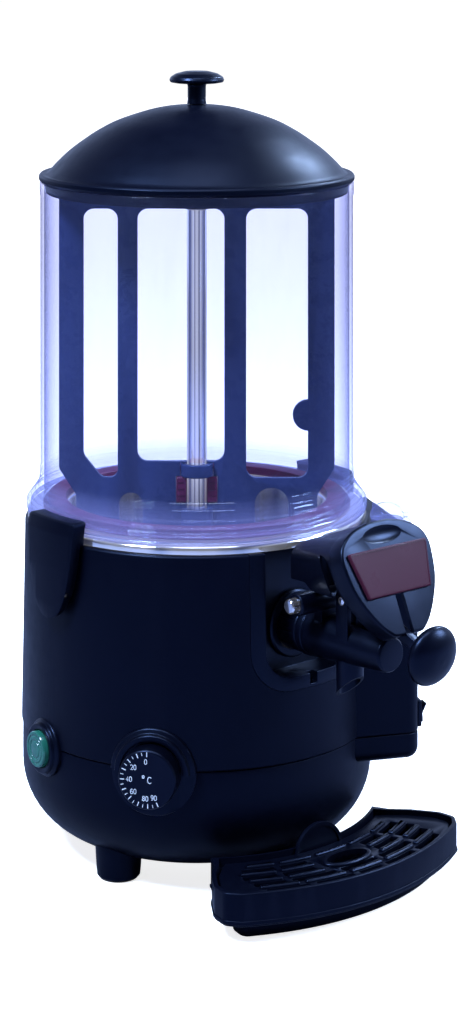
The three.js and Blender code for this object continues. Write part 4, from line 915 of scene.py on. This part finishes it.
# ------------------------------------------------------------------ tap
def tap():
    nut = forward("tap_nut_look", fillet([(14.8, 110.6), (17.6, 110.6), (17.6, 129.4), (16.8, 130.8), (13.5, 130.8), (13.5, 124.2), (14.8, 124.2)], [0.2, 0.4, 0.7, 0.8, 0.5, 0.2, 0.2], 4), 173, 0, 96, "trim_black")
    for i in range(12):
        c = fcyl("c", 1.1, 112, 128, 173 + 18.2 * math.sin(rad(30 * i)), 18.2 * math.cos(rad(30 * i)), 16)
        boolean(nut, c)
    piece(nut, "tap_nut")
    prof = fillet([(0, 119.5), (14.3, 119.5), (14.3, 123.8), (13.1, 123.8), (13.1, 131.1), (17.9, 131.1), (18.3, 132.4), (18.0, 136.4), (17.5, 137), (17.5, 138), (17.8, 138.6), (12.4, 210.2), (11, 212), (0, 212)], [0, 0.3, 0.3, 0.3, 0.3, 0.3, 0.7, 0.4, 0.3, 0.3, 0.3, 0.7, 0.5, 0], 3, False)
    o = forward("tap_body_look", prof, 173, 0, 96, "trim_black", False)
    sp = lathe("s", fillet([(0, 130), (9.5, 130), (9.9, 160), (11.6, 166), (11.6, 170), (0, 170)], [0, 0, 6, 3, 0, 0], 4, False), 72, None, False)
    move(sp, 0, -170)
    boolean(o, sp, "UNION")
    boolean(o, across("a", fillet([(0, -33.5), (7.7, -33.5), (7.7, 14), (0, 14)], [0, 0.9, 0.9, 0], 4, False), 150, 200, 64, None, False), "UNION")
    boolean(o, block("w", -12, 12, -154, -146, 182, 196), "UNION")
    for s in (1, -1):
        ear = fslab("e", fillet([(s * 10.2, 170), (s * 14, 172), (s * 14, 208), (s * 12.8, 211), (s * 10.2, 211)], 0.8, 3), 170, 182, 0.4, 0.4)
        boolean(o, ear, "UNION")
    boolean(o, fcyl("c", 9.3, 118, 209.6, 173))
    c = cyl("c", 7.6, 110, 172, 64)
    boolean(o, move(c, 0, -170))
    cut = block("c", -20, 20, -24, 24, -40, 0)
    xform(cut, Matrix.Rotation(-rad(42), 4, "X"))
    boolean(o, move(cut, 0, -170, 141.5))
    boolean(o, block("c", -4.2, 4.2, -197.6, -171.6, 173, 190))
    boolean(o, acyl("c", 5.5, -36, 11, 150, 200))
    boolean(o, acyl("c", 3.1, -30, 30, 176, 205))
    piece(o, "tap_body", angle=32)
    # fluted head on the lock pin
    pin = across("lock_pin_look", fillet([(0, -40.4), (4.3, -40.4), (5.2, -39.3), (5.2, 10.4), (0, 10.4)], [0, 0.6, 0.6, 0.6, 0], 4, False), 150, 200, 72, "polished_steel", False)
    for i in range(14):
        a = 2 * math.pi * i / 14
        g = acyl("g", 0.55, -42, -34.4, 150 + 5.5 * math.cos(a), 200 + 5.5 * math.sin(a), 10)
        boolean(pin, g)
    piece(pin, "lock_pin")
    piece(across("lever_pivot_look", fillet([(0, -14.4), (2.85, -14.4), (2.85, 14.4), (0, 14.4)], [0, 0.5, 0.5, 0], 3, False), 176, 205, 40, "polished_steel", False), "lever_pivot")
    # lever
    arm = sslab("tap_lever_look", fillet([(176, 199.4), (200, 194), (242.6, 179.2), (245, 185.6), (204, 203.4), (178, 210.6)], [2, 8, 1, 1, 10, 3], 5), -3, 3, 0.7, 0.7, 3, "trim_black")
    toe = sslab("t", fillet([(172.4, 204), (179.6, 204), (179.2, 172), (177.6, 170), (174.4, 170), (172.8, 172)], [0, 0, 1, 1, 1, 1], 3), -3, 3, 0.4, 0.4)
    hub = across("h", fillet([(3.2, -9.6), (5.8, -9.6), (5.8, 9.6), (3.2, 9.6)], 0.4, 3), 176, 205, 48)
    boolean(arm, toe, "UNION")
    boolean(arm, acyl("c", 5.2, -9, 9, 176, 205), "UNION")
    boolean(arm, hub, "UNION")
    boolean(arm, acyl("c", 3.2, -60, 60, 176, 205))
    piece(arm, "tap_lever")
    ball = spline([(0.0001, -10.4), (8, -9.6), (14.8, -7), (19.4, -3.4), (21.2, 0.4), (19.4, 4.2), (14.8, 7.8), (8, 10.4), (0.0001, 11.2)], 5)
    ball[0], ball[-1] = (0, -10.4), (0, 11.2)
    b = lathe("lever_ball_look", ball, 96, "trim_black", False)
    turn_x(b, 90)
    turn_x(b, 11)
    move(b, 0, -251, 181.8)
    boolean(b, block("c", -3.4, 3.4, -246.4, -200, 172, 192))
    piece(b, "lever_ball")
tap()

# ------------------------------------------------------------------ shield cover
LEAN, LEAN_F = 24.2, 233.1

def lean(o):
    move(o, 0, 0, -187)
    xform(o, Matrix.Rotation(-rad(LEAN), 4, "X"))
    return move(o, 0, -LEAN_F, 187)

def hull(name, pts):
    me = bpy.data.meshes.new(name)
    bm = bmesh.new()
    for q in pts:
        bm.verts.new(Vector(q) * S)
    r = bmesh.ops.convex_hull(bm, input=bm.verts)
    bmesh.ops.delete(bm, geom=[v for v in bm.verts if not v.link_faces], context="VERTS")
    bmesh.ops.recalc_face_normals(bm, faces=bm.faces)
    bmesh.ops.dissolve_limit(bm, angle_limit=rad(0.4), verts=bm.verts, edges=bm.edges)
    bm.to_mesh(me)
    bm.free()
    o = bpy.data.objects.new(name, me)
    bpy.context.scene.collection.objects.link(o)
    me.materials.append(M["trim_black"])
    return o

def cover_outline():
    p = [(10.5, 192.6), (13.4, 193.0), (16.0, 194.5), (22.5, 200), (30.5, 210.4), (38.6, 226), (42, 243), (41.6, 253), (36.6, 261), (25, 267.8), (9, 271.4)]
    half = spline(p, 5)
    return half + [(-x, z) for x, z in half[::-1]]

def inset_out(pts, d):
    q = list(pts)
    if area2(q) < 0:
        q.reverse()
    return inset(q, d)

def cover():
    o = lean(fslab("tap_cover_look", cover_outline(), -14, 0, 0.5, 2.0, 6, "trim_black"))
    boolean(o, lean(faced("c", inset_out(cover_outline(), 2.6), -30, -3)))
    lz, ly = math.cos(rad(LEAN)), math.sin(rad(LEAN))
    def ring(d, depth, floor_z):
        pts = []
        for x, z in inset_out(cover_outline(), d):
            z = max(z, floor_z)
            y, h = depth, z - 187
            pts.append((x, y * lz + h * ly - LEAN_F, 187 + h * lz - y * ly))
        return pts
    def neck(k, y, low):
        arch = fillet([(-15.5 + k, low), (15.5 - k, low), (15.5 - k, 231 - k), (-15.5 + k, 231 - k)], [0, 0, 7, 7], 5)
        return [(x, y, z) for x, z in arch]
    def waist(k, low):
        arch = fillet([(-29.5 + k, low), (29.5 - k, low), (29.5 - k, 250 - k), (-29.5 + k, 250 - k)], [0, 0, 16, 16], 6)
        return [(x, -168, z) for x, z in arch]
    hood = hull("hood", ring(0.25, 10, 217) + neck(0, -112, 208) + waist(0, 212))
    inn = hull("inn", ring(2.8, 6, 200) + neck(2.6, -100, 190) + waist(2.6, 195))
    boolean(hood, inn)
    boolean(hood, cyl("c", 133, 190, 260, 160))
    boolean(hood, lean(faced("c", inset_out(cover_outline(), 2.6), -30, -3)))
    boolean(o, hood, "UNION")
    boolean(o, slab("c", rrect(-4, 4, -250, -190, 1.0, 3), 180, 218, 0, 0))
    boolean(o, fcyl("c", 15, 150, 214, 173))
    # shallow thumb hollow above the badge
    th = bpy.data.meshes.new("th")
    bm = bmesh.new()
    bmesh.ops.create_uvsphere(bm, u_segments=48, v_segments=24, radius=1)
    bm.to_mesh(th)
    bm.free()
    t = bpy.data.objects.new("th", th)
    bpy.context.scene.collection.objects.link(t)
    xform(t, Matrix.Diagonal((0.0195, 0.0034, 0.0066, 1)))
    xform(t, Matrix.Translation((0, -0.0012, 0.2615)))
    lean(t)
    boolean(o, t)
    piece(o, "tap_cover", angle=30)
    corners = [(-29.4, 220.4), (29.4, 220.4), (37.2, 252.8), (-37.2, 252.8)]
    b = lean(fslab("badge_look", fillet(corners, 1.5, 5), 0.3, 2.6, 0, 0.8, 4, "badge_maroon"))
    boolean(b, lean(fslab("c", fillet(inset_out(corners, 1.5), 1.0, 5), 2.3, 5, 0, 0)))
    piece(b, "badge_plate", angle=30)
cover()

# ------------------------------------------------------------------ drip tray and grid
ARC_F = 3.5

def tray_outline(d, n=48):
    pts = []
    R = 205 - d
    half = rad(30.3) - (d * 1.05) / R
    for i in range(n + 1):
        a = -half + 2 * half * i / n
        pts.append((R * math.sin(a), -(R * math.cos(a) - ARC_F)))
    k = d
    side = [(111 - k * 1.25, -164), (109 - k * 1.3, -151), (96.6 - k * 1.3, -133.4 - k * 0.1), (84 - k * 1.3, -121.6 - k * 0.3)]
    rr = 135 + d
    a1 = math.asin((78 - k * 1.2) / rr)
    back = [(rr * math.sin(a1 - 2 * a1 * i / 30), -rr * math.cos(a1 - 2 * a1 * i / 30)) for i in range(31)]
    s1 = fillet([pts[-1]] + side + [back[0]], [0, 7, 9, 9, 5, 0], 5, False)
    s2 = fillet([back[-1]] + [(-x, y) for x, y in side[::-1]] + [pts[0]], [0, 5, 9, 9, 7, 0], 5, False)
    return pts[:-1] + s1 + back[1:-1] + s2[:-1]

def tray():
    o = slab("drip_tray_look", tray_outline(0), -1, 22, 1.6, 1.1, 4, "casing_black")
    lower = slab("l", tray_outline(13), -13, 0, 1.6, 0, 4)
    boolean(o, lower, "UNION")
    boolean(o, slab("c", tray_outline(2.6), 15.4, 28, 0.3, 0, 2))
    boolean(o, slab("c", tray_outline(5.4), 1.4, 22, 1.2, 0, 3))
    boolean(o, slab("c", tray_outline(15.6), -10.6, 22, 1.2, 0, 3))
    # bead round the foot of the upper wall
    bead = slab("bd", [(x, y) for x, y in inset(tray_ccw(0), -0.7)], 0.6, 3.4, 0.7, 0.7, 3)
    boolean(bead, slab("c", inset(tray_ccw(0), 1.2), -5, 10, 0, 0))
    boolean(o, bead, "UNION")
    tab = fslab("t", [(22, 15)] + arc_pts(0, 15, 22, 0, 180, 40, 21)[1:-1] + [(-22, 15)], 134.8, 137.6, 0.7, 0.7, 3)
    boolean(o, tab, "UNION")
    rib = faced("rb", arc_pts(0, 15, 22, 0, 180, 40, 21) + arc_pts(0, 15, 19.4, 180, 0, 40, 18.4), 137, 138.6)
    boolean(o, rib, "UNION")
    piece(o, "drip_tray", angle=32)

def tray_ccw(d):
    q = tray_outline(d)
    if area2(q) < 0:
        q.reverse()
    return q

def grid():
    # frame, curved bars with rounded tops, cross nodes and a centre ring
    edge = tray_ccw(4.8)
    o = slab("drip_grid_look", edge, 15.8, 19, 0.3, 0.7, 3, "trim_black")
    holes = []
    def row(r0, r1, cuts):
        for d0, d1 in cuts:
            h = [(r1 * math.sin(rad(d0 + (d1 - d0) * i / 10)), -(r1 * math.cos(rad(d0 + (d1 - d0) * i / 10)) - ARC_F)) for i in range(11)]
            h += [(r0 * math.sin(rad(d1 + (d0 - d1) * i / 10)), -(r0 * math.cos(rad(d1 + (d0 - d1) * i / 10)) - ARC_F)) for i in range(11)]
            holes.append(fillet(h, [1.6 if i in (0, 10, 11, 21) else 0 for i in range(22)], 4))
    row(193, 198.6, [(-24.6, -15), (-13.6, -4.4), (-3, 3), (4.4, 13.6), (15, 24.6)])
    row(181, 187.4, [(-26.4, -19), (-17.6, -6.6), (-5.2, 5.2), (6.6, 17.6), (19, 26.4)])
    row(169, 175.4, [(-28, -19.6), (-18.2, -9.6), (9.6, 18.2), (19.6, 28)])
    row(157, 163.4, [(-27.4, -18.6), (-17.2, -9.6), (9.6, 17.2), (18.6, 27.4)])
    holes.append(arc_pts(0, -167, 18, 0, 360, 48, 8)[:-1])
    for h in holes:
        boolean(o, slab("c", h, 10, 25, 0, 0))
    bevel(o, 0.55, 2, 45)
    # rounded bars along the arcs, broken at the cross pieces, and the centre ring
    def bar(r, d0, d1, w=2.3):
        n = 16
        pts = [(r * math.sin(rad(d0 + (d1 - d0) * i / n)), -(r * math.cos(rad(d0 + (d1 - d0) * i / n)) - ARC_F)) for i in range(n + 1)]
        P = [Vector(p) for p in pts]
        L, R = [], []
        for i, p in enumerate(P):
            d = (P[min(i + 1, n)] - P[max(i - 1, 0)]).normalized()
            nn = Vector((-d.y, d.x)) * w
            L.append(tuple(p + nn)); R.append(tuple(p - nn))
        return slab("b", fillet(R + L[::-1], [1.6 if i in (0, n, n + 1, 2 * n + 1) else 0 for i in range(2 * n + 2)], 5), 18.0, 20.9, 0, 1.7, 5)
    for r, segs in ((190.2, [(-25.6, -17), (-15.6, -5.8), (-4.4, 4.4), (5.8, 15.6), (17, 25.6)]),
                    (178.2, [(-27, -19.4), (-17.8, -8.8), (8.8, 17.8), (19.4, 27)]),
                    (166.2, [(-28.2, -19.4), (-18, -9.2), (9.2, 18), (19.4, 28.2)]),
                    (153.4, [(-25.6, -18), (-16.4, -7), (-5.4, 5.4), (7, 16.4), (18, 25.6)])):
        for a, b in segs:
            boolean(o, bar(r, a, b, 2.3 if r > 160 else 1.9), "UNION")
    ring = slab("rg", arc_pts(0, -167, 21.4, 0, 360, 64, 10.8)[:-1], 18.0, 20.9, 0, 1.4, 5)
    boolean(ring, slab("c", arc_pts(0, -167, 18.0, 0, 360, 64, 8.0)[:-1], 10, 30, 0, 0))
    boolean(o, ring, "UNION")
    piece(o, "drip_grid", angle=32)
tray()
grid()

# ------------------------------------------------------------------ stage, light, camera
scene = bpy.context.scene
me = bpy.data.meshes.new("floor")
me.from_pydata([(-6, -6, -0.0131), (6, -6, -0.0131), (6, 6, -0.0131), (-6, 6, -0.0131)], [], [(0, 1, 2, 3)])
floor = bpy.data.objects.new("floor", me)
scene.collection.objects.link(floor)
fm, t, out = nt("floor_pale")
df = node(t, "ShaderNodeBsdfDiffuse")
df.inputs["Color"].default_value = (0.92, 0.92, 0.93, 1)
em = node(t, "ShaderNodeEmission")
em.inputs["Color"].default_value = (1, 1, 1, 1)
fc_ = node(t, "ShaderNodeTexCoord")
fl_ = node(t, "ShaderNodeVectorMath", operation="LENGTH")
t.links.new(fc_.outputs["Object"], fl_.inputs[0])
t.links.new(remap(t, fl_.outputs["Value"], 0.25, 0.6, 0.80, 1.3), em.inputs["Strength"])
lp = node(t, "ShaderNodeLightPath")
add = node(t, "ShaderNodeAddShader")
mx = node(t, "ShaderNodeMixShader")
dim = node(t, "ShaderNodeBsdfDiffuse")
dim.inputs["Color"].default_value = (0.22, 0.24, 0.34, 1)
t.links.new(df.outputs[0], add.inputs[0])
t.links.new(em.outputs[0], add.inputs[1])
t.links.new(lp.outputs["Is Camera Ray"], mx.inputs[0])
t.links.new(dim.outputs[0], mx.inputs[1])
t.links.new(add.outputs[0], mx.inputs[2])
t.links.new(mx.outputs[0], out.inputs[0])
me.materials.append(fm)

w = bpy.data.worlds.new("studio")
scene.world = w
w.use_nodes = True
t = w.node_tree
for n in list(t.nodes):
    t.nodes.remove(n)
out = node(t, "ShaderNodeOutputWorld")
lp = node(t, "ShaderNodeLightPath")
bg1 = node(t, "ShaderNodeBackground")
bg1.inputs[0].default_value = (1, 1, 1, 1)
bg1.inputs[1].default_value = 1.02
bg2 = node(t, "ShaderNodeBackground")
bg2.inputs[1].default_value = 0.5
# for reflections: a pale room, brighter from the left and the far right, with a dark gap ahead
tc = node(t, "ShaderNodeTexCoord")
rot = node(t, "ShaderNodeMapping")
rot.vector_type = "VECTOR"
rot.inputs["Rotation"].default_value = (0, 0, rad(39.5))
t.links.new(tc.outputs["Generated"], rot.inputs["Vector"])
sep = node(t, "ShaderNodeSeparateXYZ")
t.links.new(rot.outputs[0], sep.inputs[0])
side = node(t, "ShaderNodeValToRGB")
cr = side.color_ramp
cr.interpolation = "EASE"
cr.elements[0].position, cr.elements[0].color = 0.0, (0.18, 0.25, 0.5, 1)
cr.elements[1].position, cr.elements[1].color = 1.0, (0.36, 0.43, 0.7, 1)
for pos, col in ((0.22, (0.34, 0.42, 0.7)), (0.40, (0.06, 0.08, 0.18)), (0.60, (0.05, 0.07, 0.16)), (0.72, (0.14, 0.18, 0.36)), (0.86, (0.36, 0.43, 0.7))):
    e = cr.elements.new(pos)
    e.color = (*col, 1)
t.links.new(remap(t, sep.outputs[0], -1, 1, 0, 1), side.inputs[0])
low = node(t, "ShaderNodeValToRGB")
low.color_ramp.elements[0].position, low.color_ramp.elements[0].color = 0.42, (0.30, 0.31, 0.36, 1)
low.color_ramp.elements[1].position, low.color_ramp.elements[1].color = 0.56, (1, 1, 1, 1)
t.links.new(remap(t, sep.outputs[2], -1, 1, 0, 1), low.inputs[0])
mulc = node(t, "ShaderNodeMix", data_type="RGBA", blend_type="MULTIPLY")
mulc.inputs[0].default_value = 1.0
t.links.new(side.outputs[0], mulc.inputs[6])
t.links.new(low.outputs[0], mulc.inputs[7])
behind = node(t, "ShaderNodeMath", operation="MULTIPLY")
t.links.new(remap(t, sep.outputs[1], 0.15, 0.75, 0, 1), behind.inputs[0])
t.links.new(remap(t, sep.outputs[2], 0.60, 0.25, 0, 1), behind.inputs[1])
t.links.new(mixc(t, behind.outputs[0], mulc.outputs[2], (1.35, 1.75, 2.9)), bg2.inputs[0])
mx = node(t, "ShaderNodeMixShader")
t.links.new(lp.outputs["Is Camera Ray"], mx.inputs[0])
t.links.new(bg2.outputs[0], mx.inputs[1])
t.links.new(bg1.outputs[0], mx.inputs[2])
t.links.new(mx.outputs[0], out.inputs[0])

def area(name, loc, target, size, sy, power, color):
    l = bpy.data.lights.new(name, "AREA")
    l.shape = "RECTANGLE"
    l.size, l.size_y = size, sy
    l.energy = power
    l.color = color
    o = bpy.data.objects.new(name, l)
    scene.collection.objects.link(o)
    o.location = loc
    d = Vector(target) - Vector(loc)
    o.rotation_euler = d.to_track_quat("-Z", "Y").to_euler()
    o.visible_camera = False
    return o

# directions below are given relative to the camera: right, towards the camera, up
AZ = rad(39.5)
def rel(right, toward, up):
    return (right * math.cos(AZ) - toward * math.sin(AZ), -right * math.sin(AZ) * 1.0 - toward * math.cos(AZ), up)
area("soft_left", rel(-0.95, 0.85, 1.8), (0, 0, 0.3), 0.42, 0.5, 88, (0.52, 0.70, 1.0))
area("soft_top", rel(0.1, 0.5, 2.0), (0, 0, 0.2), 0.9, 0.7, 18, (0.66, 0.78, 1.0))
area("soft_right", rel(1.6, 0.15, 1.15), (0, 0, 0.2), 0.6, 0.6, 50, (0.50, 0.68, 1.0))
area("soft_back", rel(1.1, -1.05, 1.6), (0, 0, 0.48), 0.28, 0.4, 30, (0.50, 0.68, 1.0))

cd = bpy.data.cameras.new("camera")
cam = bpy.data.objects.new("camera", cd)
scene.collection.objects.link(cam)
cam.location = (-1.167, -1.416, 0.680)
cam.rotation_euler = (rad(90), 0, rad(-39.5))
cd.lens = 85.07
cd.sensor_fit = "AUTO"
cd.sensor_width = 36
cd.clip_start, cd.clip_end = 0.05, 50
# the lens shift belongs to the photo's view alone; a view that turns the camera by quaternion has none
for path, amount in (("shift_x", 0.0391), ("shift_y", -0.5757)):
    fc = cd.driver_add(path)
    dr = fc.driver
    dr.type = "SCRIPTED"
    va = dr.variables.new()
    va.name = "m"
    va.type = "SINGLE_PROP"
    va.targets[0].id = cam
    va.targets[0].data_path = "rotation_mode"
    dr.expression = "%.5f * m" % amount
scene.camera = cam
scene.view_settings.view_transform = "Standard"
scene.view_settings.look = "None"
